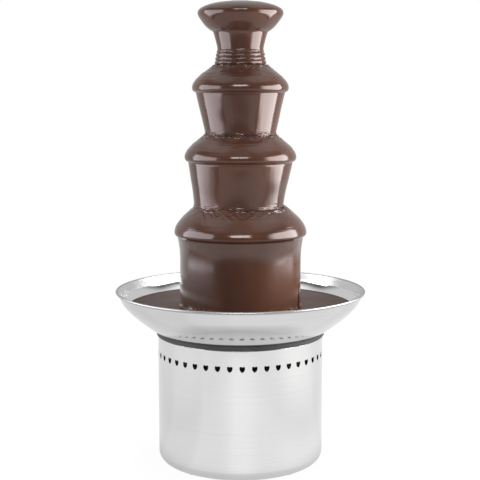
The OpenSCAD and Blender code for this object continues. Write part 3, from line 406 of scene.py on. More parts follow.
# Painted shade: near black for the tie rods and nuts behind the vents, standing in for the shade inside the
# drum.
moulded("rod_painted_shade", grey(0.008), grey(0.012), grey(0.02), 0.6, 0.75, 900.0, 0.1)
moulded("foot_rubber", grey(0.012), grey(0.02), grey(0.04), 0.7, 0.85, 900.0, 0.2)
moulded("cast_aluminium", grey(0.42), grey(0.5), grey(0.66), 0.4, 0.6, 700.0, 0.25, metallic=1.0)
moulded("motor_paint", PAINT_DARK, PAINT_PALE, grey(0.2), 0.4, 0.55, 900.0, 0.15)
moulded("element_sheath", SHEATH_DARK, SHEATH_PALE, grey(0.2), 0.45, 0.65, 700.0, 0.2)
moulded("panel_plastic", grey(0.016), grey(0.024), grey(0.06), 0.45, 0.6, 1600.0, 0.15)
moulded("rocker_black", grey(0.012), grey(0.018), grey(0.05), 0.16, 0.24, 800.0, 0.03)
moulded("rocker_red", RED_DARK, RED_PALE, RED_WORN, 0.16, 0.24, 800.0, 0.03)
moulded("white_nylon", NYLON_DARK, NYLON_PALE, grey(0.85), 0.35, 0.5, 1000.0, 0.06)
moulded("mark_white", grey(0.72), grey(0.8), grey(0.85), 0.4, 0.5, 1200.0, 0.02)
print("finishes so far:", len(finishes))

# %% [markdown]
# ## The chocolate's finish
# Melted chocolate is a dark brown body under a clear wet gloss. On the domes, level lines stand in the
# flow, so a fine bump of lines breaks the reflections there. The lines fade where the surface stands
# upright, because a falling curtain is smooth. Slow patches make the brown warmer here and there, as
# thinner chocolate looks. The lowest curtain is the thinnest. Its gloss is a clear coat, full at the top
# and on the left. Below a wavy line the coat thins out to the right, and there a painted glow warms the
# brown, for the light that shines through the thin sheet.

# %% Chocolate
CHOCOLATE_DARK = (0.043, 0.0190, 0.0130, 1)
CHOCOLATE_PALE = (0.060, 0.0275, 0.0187, 1)
CHOCOLATE_WARM = (0.072, 0.0300, 0.0175, 1)
CHOCOLATE_LIT_THROUGH = (0.074, 0.0315, 0.019, 1)
SHEEN_TINT = (1.0, 0.9, 0.9, 1)
VEIL_EDGE, VEIL_WAVE = (0.026, 0.012), 0.036
LACQUER_X, LIT_THROUGH_X, SIDE_WAVE = (-0.03, 0.02), (0.03, 0.075), 0.05


def wet_chocolate(name, fineness, length, relief, smooth, rough, lift=1.0, veil_z=None, **constants):
    finish, tree, shader = new_finish(name, IOR=1.5, Specular_Tint=SHEEN_TINT, **constants)
    flow = place_group(tree, turned_lines, Fineness=fineness, Length=length, Radius_share=-0.8)["Line"]
    skin = place_group(tree, fine_mottle, Size=260.0, Patch_size=18.0)
    thin = place_group(tree, turned_lines, Fineness=5.0, Length=17.0, Radius_share=0.0)["Line"]
    facing = add_node(tree, "ShaderNodeNewGeometry").outputs["Normal"]
    upward = add_node(tree, "ShaderNodeSeparateXYZ", {0: facing}).outputs["Z"]
    lines = maths(tree, "MULTIPLY", flow, remap(tree, upward, 0.1, 0.5))
    tone = maths(tree, "MULTIPLY_ADD", lines, 0.4, maths(tree, "MULTIPLY", skin["Patch"], 0.6))
    dark, pale, warm = (tuple(lift * c for c in shade[:3]) + (1,)
                        for shade in (CHOCOLATE_DARK, CHOCOLATE_PALE, CHOCOLATE_WARM))
    brown = blend_colours(tree, remap(tree, tone, 0.25, 0.65), dark, pale)
    brown = blend_colours(tree, remap(tree, thin, 0.45, 0.7, 0.0, 0.7), brown, warm)
    dull = remap(tree, skin["Patch"], 0.3, 0.7, smooth, rough)
    if veil_z is not None:
        place = add_node(tree, "ShaderNodeTexCoord").outputs["Object"]
        spot = add_node(tree, "ShaderNodeSeparateXYZ", {0: place})
        uneven = noise(tree, place, 24.0, 5.0)
        level = maths(tree, "MULTIPLY_ADD", uneven, VEIL_WAVE, spot.outputs["Z"])
        veil = remap(tree, level, veil_z + VEIL_EDGE[0], veil_z + VEIL_EDGE[1], smooth=True)
        side = maths(tree, "MULTIPLY_ADD", uneven, SIDE_WAVE, spot.outputs["X"])
        lacquer = remap(tree, side, *LACQUER_X, 1.0, 0.1, smooth=True)
        lacquer = maths(tree, "MAXIMUM", lacquer, maths(tree, "SUBTRACT", 1.0, veil))
        tree.links.new(lacquer, shader.inputs["Coat Weight"])
        # Painted light: on the right, below the wavy line, the brown blends to a lit, warmer brown for
        # light shining through the thin curtain.
        glow = maths(tree, "MULTIPLY", veil, remap(tree, side, *LIT_THROUGH_X, smooth=True))
        brown = blend_colours(tree, glow, brown, CHOCOLATE_LIT_THROUGH)
    tree.links.new(brown, shader.inputs["Base Color"])
    tree.links.new(dull, shader.inputs["Roughness"])
    bump(tree, shader, lines, relief, 0.0006)
    return finish


# Each row: fineness and length of the flow lines, relief, lowest and highest roughness, paleness.
wet_chocolate("chocolate", 420.0, 9.0, 0.4, 0.11, 0.16)
wet_chocolate("chocolate_veil", 420.0, 9.0, 0.7, 0.2, 0.25, veil_z=0.294, Specular_IOR_Level=0.14,
              Coat_Roughness=0.18)
wet_chocolate("chocolate_pool_skin", 90.0, 40.0, 0.04, 0.42, 0.52, 1.15, Specular_IOR_Level=0.26)
wet_chocolate("chocolate_froth", 500.0, 9.0, 0.02, 0.06, 0.12, 2.6)
print("chocolate ready")

# %% [markdown]
# ## Meshes by turning
# Nearly every visible piece is a body of revolution: an outline of [radius, height] points, spun round
# the axis. Outlines come from the same curves as the CAD's, taken in finer steps and softened, since
# liquid and pressed sheet have no sharp creases. `ripple` gives smooth random waves that close on
# themselves round the axis.

# %% Curve helpers
def resampled(path, step):
    path = np.asarray(path, float)
    lengths = np.concatenate([[0.0], np.cumsum(np.hypot(*np.diff(path, axis=0).T))])
    count = max(2, int(round(lengths[-1] / step)) + 1)
    at = np.linspace(0, lengths[-1], count)
    return np.stack([np.interp(at, lengths, path[:, k]) for k in (0, 1)], axis=1)


def softened(path, step, reach):
    even = resampled(path, step)
    half = int(3 * reach / step)
    weights = np.exp(-0.5 * (np.arange(-half, half + 1) * step / reach) ** 2)
    weights /= weights.sum()
    start = 2 * even[0] - even[half:0:-1]
    end = 2 * even[-1] - even[-2:-half - 2:-1]
    long = np.concatenate([start, even, end])
    return np.stack([np.convolve(long[:, k], weights, mode="valid") for k in (0, 1)], axis=1)


def outward(path):
    along = np.gradient(path, axis=0)
    along /= np.maximum(np.hypot(along[:, 0], along[:, 1]), 1e-12)[:, None]
    return np.stack([-along[:, 1], along[:, 0]], axis=1)


def ripple(angles, along, round_cells, along_cells, seed):
    lattice = np.random.default_rng(seed).uniform(-1, 1, (along_cells + 2, round_cells))
    u = (angles / (2 * math.pi)) % 1.0 * round_cells
    v = np.clip(along, 0, 1) * along_cells
    i, j = np.floor(u).astype(int), np.floor(v).astype(int)
    f, g = u - i, v - j
    f, g = f * f * (3 - 2 * f), g * g * (3 - 2 * g)
    i, i_next = i % round_cells, (i + 1) % round_cells
    low = lattice[j, i] * (1 - f) + lattice[j, i_next] * f
    high = lattice[j + 1, i] * (1 - f) + lattice[j + 1, i_next] * f
    return low * (1 - g) + high * g


print("curve helpers ready")

# %% [markdown]
# One helper spins an outline that closes on itself. A table of small moves, one for each point and each
# angle, adds ripples and folds. Edges sharper than a set angle stay crisp, and the rest is shaded smooth.
# Another helper gives a piece its finish and its body, and hides the CAD pieces that it stands for.

# %% Turning helpers
TURNED_CREASE, SHEET_CREASE = 50, 35


def smooth_shade(mesh, sharp_from):
    mesh.polygons.foreach_set("use_smooth", [True] * len(mesh.polygons))
    mesh.set_sharp_from_angle(angle=math.radians(sharp_from))


def turned(name, outline, columns, moves=None, lean=None):
    outline = np.asarray(outline, float)
    angles = np.arange(columns) * 2 * math.pi / columns
    radius = np.repeat(outline[:, :1], columns, axis=1)
    height = np.repeat(outline[:, 1:], columns, axis=1)
    if moves is not None:
        radius = radius + moves[0]
        height = height + moves[1]
    x, y = radius * np.cos(angles), radius * np.sin(angles)
    if lean is not None:
        x = x + lean[:, None]
    points = np.stack([x, y, height], axis=2).reshape(-1, 3)
    rows = len(outline)
    row, column = np.meshgrid(np.arange(rows), np.arange(columns), indexing="ij")
    next_row, next_column = (row + 1) % rows, (column + 1) % columns
    quads = np.stack([row * columns + column, row * columns + next_column,
                      next_row * columns + next_column, next_row * columns + column], axis=2).reshape(-1, 4)
    mesh = bpy.data.meshes.new(name)
    mesh.from_pydata(points.tolist(), [], quads.tolist())
    work = bmesh.new()
    work.from_mesh(mesh)
    bmesh.ops.remove_doubles(work, verts=work.verts, dist=1e-7)
    bmesh.ops.recalc_face_normals(work, faces=work.faces)
    work.to_mesh(mesh)
    work.free()
    smooth_shade(mesh, TURNED_CREASE)
    return add_object(name, mesh)


def dress(piece, body, finish, slot, *nodes):
    piece.data.materials.clear()
    piece.data.materials.append(finishes[finish])
    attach(piece, body)
    if nodes:
        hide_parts(*nodes)
    print(piece.name, "has", len(piece.data.polygons), "faces and rides on", body)
    return piece


print("turning helpers ready")

# %% [markdown]
# ## The bowl
# A spun steel dish: flat floor, curved wall, flared lip, and an edge rolled into a bead. The CAD holds it
# in eight steps; here the same curve is smooth. A face takes its finish from where it lies: outside,
# inside, on the lip's inside or on the bead.

# %% Bowl
bowl_low, bowl_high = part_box("bowl")
BOWL_SHEET = 1.2 * MM
BOWL_HOLE_R = 9.3 * MM
BOWL_FOOT_R = 119.5 * MM
BOWL_WALL_R = 168.0 * MM
BOWL_LIP_H = 12.0 * MM
BOWL_BEND = 1.35
BEAD_R = 1.5 * MM
bowl_z, bowl_rim_r, bowl_rim_z = bowl_low.z, bowl_high.x, bowl_high.z
bowl_lip_z = bowl_rim_z - BOWL_LIP_H


def bowl_wall(steps=60):
    u = np.linspace(1, 0, steps)
    radii = BOWL_WALL_R - (BOWL_WALL_R - BOWL_FOOT_R) * u ** BOWL_BEND
    return np.stack([radii, bowl_lip_z - (bowl_lip_z - bowl_z) * u], axis=1)


bead_at = np.array([bowl_rim_r - BEAD_R, bowl_rim_z - BEAD_R])
lip_end = bead_at + [-BEAD_R * 0.6, -BEAD_R * 0.8]
outer = np.concatenate([[[BOWL_HOLE_R, bowl_z], [BOWL_FOOT_R - 3 * MM, bowl_z]], bowl_wall(), [lip_end]])
outer = softened(outer, 0.8 * MM, 1.6 * MM)
inner = outer + BOWL_SHEET * outward(outer)
inner[:, 1] = np.maximum(inner[:, 1], bowl_z + BOWL_SHEET)
bead_turn = np.radians(np.linspace(-120, 170, 16))
bead = bead_at + BEAD_R * np.stack([np.cos(bead_turn), np.sin(bead_turn)], axis=1)
inner = inner[inner[:, 0] > BOWL_HOLE_R - 1e-6]
bowl_outline = np.concatenate([outer, bead, inner[:-2][::-1]])
bowl = turned("bowl_dish", bowl_outline, 288)
dress(bowl, "base", "bowl_steel", "bowl_steel", "bowl")
for finish in ("bowl_polish", "rim_satin", "bead_satin"):
    bowl.data.materials.append(finishes[finish])
POLISH, LIP, BEAD = 1, 2, 3
for face in bowl.data.polygons:
    if math.hypot(face.center.x, face.center.y) > bowl_rim_r - 2 * BEAD_R:
        face.material_index = BEAD
    elif face.normal.z > 0.15:
        face.material_index = LIP if face.center.z > bowl_lip_z else POLISH
used = [face.material_index for face in bowl.data.polygons]
print("bowl rim", round(bowl_rim_r, 4), "faces per finish", [used.count(k) for k in range(4)])

# %% [markdown]
# ## The drum
# The drum is one sheet, rolled and welded, with a turned-in foot, a flange on top and a row of heart
# vents. Cutting hearts with a boolean would leave long thin faces, so each vent gets its own patch of
# wall, filled round the heart, and the patches sit between turned rows with matching columns. A Solidify
# modifier then gives the sheet its thickness, which shows in the vents' edges. Last, the window for the
# controls is cut at the back.

# %% Drum
drum_low, drum_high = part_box("base_shell")
drum_r, drum_z, drum_top_z = drum_high.x, drum_low.z, drum_high.z
DRUM_SHEET = 1.2 * MM
DRUM_CORNER = 13.0 * MM
DRUM_TOP_CORNER = 0.6 * MM
DRUM_FLANGE = 12.0 * MM
DRUM_FOOT = 10.0 * MM
HEART_COUNT = 44
HEART_TURN = math.radians(1.2)
HEART_W, HEART_H, HEART_ROW = 7.5 * MM, 8.2 * MM, 157.0 * MM
BAND_HALF = 8.0 * MM
COLUMNS_PER_HEART = 8
WALL_START, WALL_END = 0.0145, 0.6 * MM
heart_z = drum_z + HEART_ROW
drum_columns = HEART_COUNT * COLUMNS_PER_HEART


def arc(centre, radius, start, end, steps):
    turns = np.radians(np.linspace(start, end, steps))
    return np.asarray(centre) + radius * np.stack([np.cos(turns), np.sin(turns)], axis=1)


def heart_outline():
    lobe = HEART_W / 4
    drop = HEART_H - lobe
    right = arc((lobe, 0), lobe, -8, 150, 10)
    left = arc((-lobe, 0), lobe, 30, 188, 10)
    side = np.array([[0.485, -0.27], [0.42, -0.54], [0.27, -0.81]]) * [HEART_W, drop]
    return np.concatenate([right, left, side * [-1, 1], [[0, -drop]], side[::-1]])


corner = (drum_r - DRUM_CORNER, drum_z + DRUM_CORNER)
top_corner = (drum_r - DRUM_TOP_CORNER, drum_top_z - DRUM_TOP_CORNER)
wall_rows = [[drum_r, z] for z in np.linspace(drum_z + WALL_START, heart_z - BAND_HALF, 7)]
lower_rows = np.concatenate([[[corner[0] - DRUM_FOOT, drum_z]], arc(corner, DRUM_CORNER, -90, 0, 14),
                             wall_rows])
upper_rows = np.concatenate([[[drum_r, heart_z + BAND_HALF], [drum_r, top_corner[1] - WALL_END]],
                             arc(top_corner, DRUM_TOP_CORNER, 0, 90, 7),
                             [[drum_r - DRUM_FLANGE, drum_top_z]]])
first_turn = HEART_TURN - math.pi / 2 - math.pi / HEART_COUNT
turns = first_turn + np.arange(drum_columns) * 2 * math.pi / drum_columns
sheet = bmesh.new()
for rows in (lower_rows, upper_rows):
    rings = [[sheet.verts.new((r * math.cos(a), r * math.sin(a), z)) for a in turns] for r, z in rows]
    for low_ring, high_ring in zip(rings, rings[1:]):
        for k in range(drum_columns):
            n = (k + 1) % drum_columns
            sheet.faces.new((low_ring[k], low_ring[n], high_ring[n], high_ring[k]))
print("drum:", len(lower_rows), "rows below the vents and", len(upper_rows), "above")

# %% [markdown]
# One patch is filled flat, with arc length as width, and then wrapped on the drum 44 times.

# %% Heart patches
def mesh_from(work, name):
    mesh = bpy.data.meshes.new(name)
    work.to_mesh(mesh)
    work.free()
    return mesh


patch_half = math.pi / HEART_COUNT * drum_r
edge_x = np.linspace(-patch_half, patch_half, COLUMNS_PER_HEART + 1)
frame_points = [(x, -BAND_HALF) for x in edge_x] + [(x, BAND_HALF) for x in edge_x[::-1]]
patch = bmesh.new()
for loop in (frame_points, heart_outline()):
    ring = [patch.verts.new((x, y, 0)) for x, y in loop]
    for a, b in zip(ring, ring[1:] + ring[:1]):
        patch.edges.new((a, b))
bmesh.ops.triangle_fill(patch, use_beauty=True, edges=patch.edges[:])
patch.verts.index_update()
flat = [(v.co.x, v.co.y) for v in patch.verts]
triangles = [[v.index for v in f.verts] for f in patch.faces]
patch.free()
for k in range(HEART_COUNT):
    middle = HEART_TURN - math.pi / 2 + 2 * math.pi * k / HEART_COUNT
    bent = [(middle + x / drum_r, heart_z + y) for x, y in flat]
    wrapped = [sheet.verts.new((drum_r * math.cos(a), drum_r * math.sin(a), z)) for a, z in bent]
    for triangle in triangles:
        sheet.faces.new([wrapped[i] for i in triangle])
bmesh.ops.remove_doubles(sheet, verts=sheet.verts, dist=1e-6)
bmesh.ops.recalc_face_normals(sheet, faces=sheet.faces)
drum = add_object("drum_sheet", mesh_from(sheet, "drum_sheet"))
print("drum skin:", len(drum.data.polygons), "faces, one heart patch has", len(triangles))

# %% [markdown]
# Modifiers are baked into the mesh at once, so that later steps see the final shape. The window's cutter
# is a plain box that is deleted after use.

# %% Drum thickness and window
WINDOW_HALF_W = 46.0 * MM
WINDOW_LOW = 34.0 * MM
WINDOW_H = 56.0 * MM
WINDOW_INNER_Y, WINDOW_OUTER_Y = 0.05, 0.15


def bake_modifiers(piece):
    graph = bpy.context.evaluated_depsgraph_get()
    final = bpy.data.meshes.new_from_object(piece.evaluated_get(graph))
    piece.modifiers.clear()
    piece.data = final
    final.name = piece.name


def cut_away(piece, points, faces):
    mesh = bpy.data.meshes.new("cutter")
    mesh.from_pydata(points, [], faces)
    cutter = add_object("cutter", mesh)
    knife = piece.modifiers.new("cut", "BOOLEAN")
    knife.operation = "DIFFERENCE"
    knife.solver = "EXACT"
    knife.object = cutter
    bake_modifiers(piece)
    bpy.data.objects.remove(cutter)


BOX_FACES = [(0, 3, 2, 1), (4, 5, 6, 7), (0, 1, 5, 4), (1, 2, 6, 5), (2, 3, 7, 6), (3, 0, 4, 7)]
thickness = drum.modifiers.new("thickness", "SOLIDIFY")
thickness.thickness = DRUM_SHEET
thickness.offset = -1.0
bake_modifiers(drum)
window_z = drum_z + WINDOW_LOW
corners = [(-WINDOW_HALF_W, WINDOW_INNER_Y), (WINDOW_HALF_W, WINDOW_INNER_Y),
           (WINDOW_HALF_W, WINDOW_OUTER_Y), (-WINDOW_HALF_W, WINDOW_OUTER_Y)]
box_points = [(x, y, z) for z in (window_z, window_z + WINDOW_H) for x, y in corners]
cut_away(drum, box_points, BOX_FACES)
smooth_shade(drum.data, SHEET_CREASE)
dress(drum, "base", "drum_steel", "drum_steel", "base_shell")

# %% [markdown]
# ## The falling chocolate
# Each level is one skin: chocolate runs over a dome, rolls under its rim and falls as a thin curtain on
# to the next. The skin follows the CAD's curve with soft corners. Small outward moves add what liquid
# does: level flow lines on the dome, an uneven rim with a groove under it, a slow wave in the curtain,
# and crumpled folds where the curtain above lands.

# %% Tier sizes
SHOULDER_RISE = 5.0 * MM
SLEEVE_R = 26.5 * MM
FILM = 2.0 * MM
CURTAIN_T = 2.0 * MM
TIER_SHEET, TIER_LIP, SLACK = 1.2 * MM, 5.0 * MM, 0.3 * MM
DOME_BEND, ROLL_BEND, CUP_BEND = 1.75, 3.0, 0.62
LANDING_GAP = 0.4 * MM
COLUMNS = 420
STEP = 0.5 * MM
LOWER_FOOT_R, MIDDLE_FOOT_R, UPPER_FOOT_R, NECK_FOOT_R = 84.7 * MM, 61.9 * MM, 48.5 * MM, 35.1 * MM


def tier_size(rim_r, rim_z, dome_h, shoulder_r, lands_r, roll_h, roll_in, drawn, bend):
    return {"rim_r": rim_r * MM, "rim_z": rim_z, "dome_h": dome_h * MM, "shoulder_r": shoulder_r * MM,
            "lands_r": lands_r, "roll_h": roll_h * MM, "roll_in": roll_in * MM,
            "drawn": drawn, "bend": bend}


lower = tier_size(rim_r=92.3, rim_z=bowl_rim_z + 81.5 * MM, dome_h=33.5, shoulder_r=65.5,
                  lands_r=MIDDLE_FOOT_R, roll_h=6.5, roll_in=4.0, drawn=0.34, bend=2.2)
middle = tier_size(rim_r=77.6, rim_z=lower["rim_z"] + 104.6 * MM, dome_h=29.0, shoulder_r=50.7,
                   lands_r=UPPER_FOOT_R, roll_h=7.5, roll_in=5.0, drawn=1.0, bend=1.16)
upper = tier_size(rim_r=66.7, rim_z=middle["rim_z"] + 95.0 * MM, dome_h=28.5, shoulder_r=39.0,
                  lands_r=NECK_FOOT_R, roll_h=7.2, roll_in=5.0, drawn=1.0, bend=1.06)
crown_rim_z = upper["rim_z"] + 101.4 * MM
pool_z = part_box("chocolate_pool")[1].z
print("rims at", [round(t["rim_z"], 4) for t in (lower, middle, upper)], "crown", round(crown_rim_z, 4))


def wet_z(tier, r):
    risen = SHOULDER_RISE * (tier["shoulder_r"] - r) / (tier["shoulder_r"] - SLEEVE_R)
    return tier["rim_z"] + tier["dome_h"] + risen


def dome_curve(tier, inset, steps):
    u = np.linspace(1, 0, steps)
    rim = tier["rim_r"] - inset
    return np.stack([rim - (rim - tier["shoulder_r"]) * u ** DOME_BEND,
                     tier["rim_z"] + (tier["dome_h"] - inset) * u], axis=1)


def fall_curve(foot, top, steps, drawn=1.0, bend=1.08):
    s = np.linspace(1, 0, steps)
    pulled = np.clip((s - 1 + drawn) / drawn, 0, 1) ** bend
    return np.stack([foot[0] + (top[0] - foot[0]) * pulled, foot[1] + (top[1] - foot[1]) * s], axis=1)


# %% [markdown]
# The moves are worked out on a grid: one row for each point of the outline and one column for each angle.
# Masks that rise and fall smoothly say where on the outline each effect acts. Sizes of the moves are in
# millimetres, and each ripple has its own seed.

# %% Masks and waves
MASK_EDGE = 1.5 * MM
angles = (np.arange(COLUMNS) * 2 * math.pi / COLUMNS)[None, :]


def hump(value, middle, width):
    return np.exp(-0.5 * ((value - middle) / width) ** 2)


def above(value, level, width):
    return 1 / (1 + np.exp((level - value) / width))


def wave_maker(along, seed):
    def wave(round_cells, along_cells, draw):
        return ripple(angles, along, round_cells, along_cells, seed + draw)
    return wave


def pushed(push, facing, inner_count):
    still = np.zeros((inner_count, COLUMNS))
    return [np.concatenate([push * facing[:, k:k + 1], still]) for k in (0, 1)]


print("moves have", COLUMNS, "columns")

# %% [markdown]
# A tier's skin is its dome, its rolled rim and its curtain in one closed outline. Flow lines, slow waves
# and an uneven rim come first, then the folds where the curtain above lands, and last the crumpled foot
# of its own curtain. On the front left of the lowest dome, fine slanting streaks run out from under the
# folds.

# %% Tier skins
FOLD_PITCH = 2.3 * MM
STREAK_TURN, STREAK_WIDTH = math.radians(242), math.radians(17)


def tier_skin(name, tier, wet_r, foot, seed, lean_by=0.0, streak_mm=0.0):
    rim_r, rim_z, lands_r = tier["rim_r"], tier["rim_z"], tier["lands_r"]
    fall_top = np.array([rim_r - tier["roll_in"], rim_z - tier["roll_h"]])
    v = np.linspace(0, 1, 24)[1:-1]
    roll = np.stack([rim_r - tier["roll_in"] * v ** ROLL_BEND, rim_z - tier["roll_h"] * v], axis=1)
    outer = np.concatenate([[[wet_r, wet_z(tier, wet_r)]], dome_curve(tier, 0, 60), roll,
                            fall_curve(foot, fall_top, 60, tier["drawn"], tier["bend"])])
    outer = softened(outer, STEP, 1.1 * MM)
    along = np.linspace(0, 1, len(outer))
    # The plain middle of the curtain keeps every fifth row only.
    plain = (outer[:, 1] < fall_top[1] - 4 * MM) & (outer[:, 1] > foot[1] + 8 * MM)
    kept = ~plain | (np.arange(len(outer)) % 5 == 0)
    outer, along = outer[kept], along[kept, None]
    facing = outward(outer)
    r, z = outer[:, :1], outer[:, 1:]
    wave, round_wave = wave_maker(along, seed), wave_maker(0 * along, seed)
    on_dome = above(z, rim_z + 3 * MM, MASK_EDGE)
    on_fall = above(-z, 2 * MM - fall_top[1], MASK_EDGE)
    # Flow lines and swells on the dome, waves and runs in the curtain, an uneven rim, a groove under it.
    push = on_dome * (0.05 * wave(20, 150, 1) + 0.22 * wave(12, 34, 2))
    push = push + on_fall * (0.30 * wave(9, 6, 4) + 0.05 * wave(130, 5, 5))
    push = push + 0.25 * hump(z, rim_z, 5 * MM) * wave(14, 3, 6)
    push = push - 0.35 * hump(z, fall_top[1], 1.1 * MM)
    # Folds, a heap, streams and combed streaks where the curtain above lands.
    wander = 4.0 * wave(26, 10, 0) + 2.0 * wave(70, 30, 3)
    broken = 0.6 + 0.4 * wave(34, 20, 8)
    piled = hump(r, lands_r + 3.5 * MM, 4.0 * MM) * on_dome
    push = push + piled * 0.45 * broken * np.sin(2 * math.pi * r / FOLD_PITCH + wander)
    heap_r = lands_r + (2.0 + 1.6 * round_wave(30, 1, 12)) * MM
    heap_h = 0.7 + 0.9 * round_wave(44, 1, 13)
    push = push + hump(r, heap_r, 1.6 * MM) * on_dome * heap_h
    slant = angles + 0.25 * (r - lands_r) / (10 * MM)
    streams = hump(r, lands_r + 8 * MM, 5 * MM) * on_dome
    push = push + streams * 0.4 * ripple(slant, along, 64, 8, seed + 9)
    combed = hump(r, lands_r + 9 * MM, 6 * MM) * on_dome * hump(angles, STREAK_TURN, STREAK_WIDTH)
    drawn_on = angles - 0.2 * (r - lands_r) / (10 * MM)
    push = push + combed * streak_mm * ripple(drawn_on, along, 140, 7, seed + 14)
    # Lumps and stacked folds at this curtain's own foot, and creases in both.
    lumps = 0.5 + 0.5 * round_wave(40, 1, 7)
    flare = hump(z, foot[1], (0.8 + 1.8 * lumps) * MM) * on_fall
    push = push + flare * (0.2 + 1.6 * lumps ** 2)
    stacked = hump(z, foot[1] + 1 * MM, (1.0 + 2.6 * lumps) * MM) * on_fall
    push = push + stacked * 0.5 * broken * np.sin(2 * math.pi * z / FOLD_PITCH + wander)
    crumple = np.maximum(piled, stacked)
    creases = 1 - np.abs(wave(46, 70, 10))
    push = push + crumple * (0.8 * creases ** 5 + 0.12 * wave(120, 160, 11))
    inner = np.concatenate([
        fall_curve(foot - [CURTAIN_T, 0], fall_top - [CURTAIN_T, 0], 14, tier["drawn"], tier["bend"])[::-1],
        [[rim_r - FILM - 1 * MM - TIER_SHEET - SLACK, rim_z - TIER_LIP - SLACK],
         [rim_r - FILM - 1 * MM + SLACK, rim_z - TIER_LIP - SLACK]],
        dome_curve(tier, FILM - SLACK, 16)[::-1],
        [[wet_r, wet_z(tier, wet_r) - FILM + SLACK]]])
    outline = np.concatenate([outer, inner])
    moves = pushed(push * MM, facing, len(inner))
    lean = lean_by * np.clip((fall_top[1] - outline[:, 1]) / (fall_top[1] - foot[1]), 0, 1)
    return turned(name, outline, COLUMNS, moves, lean)


def landing(tier, foot_r):
    return np.array([foot_r, wet_z(tier, foot_r - CURTAIN_T) + LANDING_GAP])


skin_lower = tier_skin("chocolate_fall_lower", lower, MIDDLE_FOOT_R - 4 * CURTAIN_T,
                       np.array([LOWER_FOOT_R, pool_z + LANDING_GAP]), 11, streak_mm=0.9)
skin_middle = tier_skin("chocolate_fall_middle", middle, UPPER_FOOT_R - 4 * CURTAIN_T,
                        landing(lower, MIDDLE_FOOT_R), 31, lean_by=-2.5 * MM)
skin_upper = tier_skin("chocolate_fall_upper", upper, NECK_FOOT_R - 2 * CURTAIN_T,
                       landing(middle, UPPER_FOOT_R), 51)
print("skins:", [len(skin.data.polygons) for skin in (skin_lower, skin_middle, skin_upper)], "faces")

# %% [markdown]
# The lowest curtain is torn on its right: a narrow slit opens from about its middle down to the pool. A
# thin wedge is cut out of the skin. The wedge's corners are listed so that its faces look outwards, or
# the cut would remove nothing, and the smooth shading is set again because the cut makes new faces. Below
# the rim, the skin takes the thin curtain's finish.

# %% Slit
SLIT_TURN = math.radians(72)
SLIT_HALF_W = 4.6 * MM
SLIT_FOOT_Z, SLIT_TOP_Z = pool_z - 2 * MM, pool_z + 58 * MM
SLIT_DEPTH = 8 * MM
WEDGE = ((-SLIT_HALF_W, SLIT_FOOT_Z), (SLIT_HALF_W, SLIT_FOOT_Z), (1.2 * SLIT_HALF_W, SLIT_TOP_Z))
WEDGE_FACES = [(0, 2, 1), (3, 4, 5), (0, 1, 4, 3), (1, 2, 5, 4), (2, 0, 3, 5)]
slit_points = []
for r in (LOWER_FOOT_R - SLIT_DEPTH, LOWER_FOOT_R + SLIT_DEPTH):
    for sideways, z in WEDGE:
        slit_points.append((r * math.sin(SLIT_TURN) + sideways * math.cos(SLIT_TURN),
                            sideways * math.sin(SLIT_TURN) - r * math.cos(SLIT_TURN), z))
cut_away(skin_lower, slit_points, WEDGE_FACES)
smooth_shade(skin_lower.data, TURNED_CREASE)
dress(skin_lower, "lower", "chocolate", "chocolate", "chocolate_lower")
skin_lower.data.materials.append(finishes["chocolate_veil"])
for face in skin_lower.data.polygons:
    if face.center.z < lower["rim_z"] - lower["roll_h"]:
        face.material_index = 1
dress(skin_middle, "middle", "chocolate", "chocolate", "chocolate_middle")
dress(skin_upper, "upper", "chocolate", "chocolate", "chocolate_upper")

# %% [markdown]
# ## The crown
# Chocolate wells up out of the tube, domes over the cup and runs down its outside into a narrow neck.
# Where the neck meets the tier it coils in a few stacked rings, as honey does from a spoon. The rings are
# bulges in the outline that wander a little in height as they go round.

# %% Crown skin
CROWN_R, CROWN_DOME_H, CROWN_CUP_H = 59.0 * MM, 15.9 * MM, 25.3 * MM
CROWN_NECK_R, WAIST_R, NECK_H = 37.4 * MM, 31.3 * MM, 23.4 * MM
CUP_WALL_H = CROWN_CUP_H - 3 * MM
RING_COUNT = 4
cup_foot_z = crown_rim_z - CROWN_CUP_H
waist_z = cup_foot_z - NECK_H


def cup_curve(shift, steps):
    v = np.linspace(1, 0, steps)
    return np.stack([CROWN_NECK_R - FILM + shift + (CROWN_R - CROWN_NECK_R) * v ** CUP_BEND,
                     cup_foot_z + CUP_WALL_H * v], axis=1)


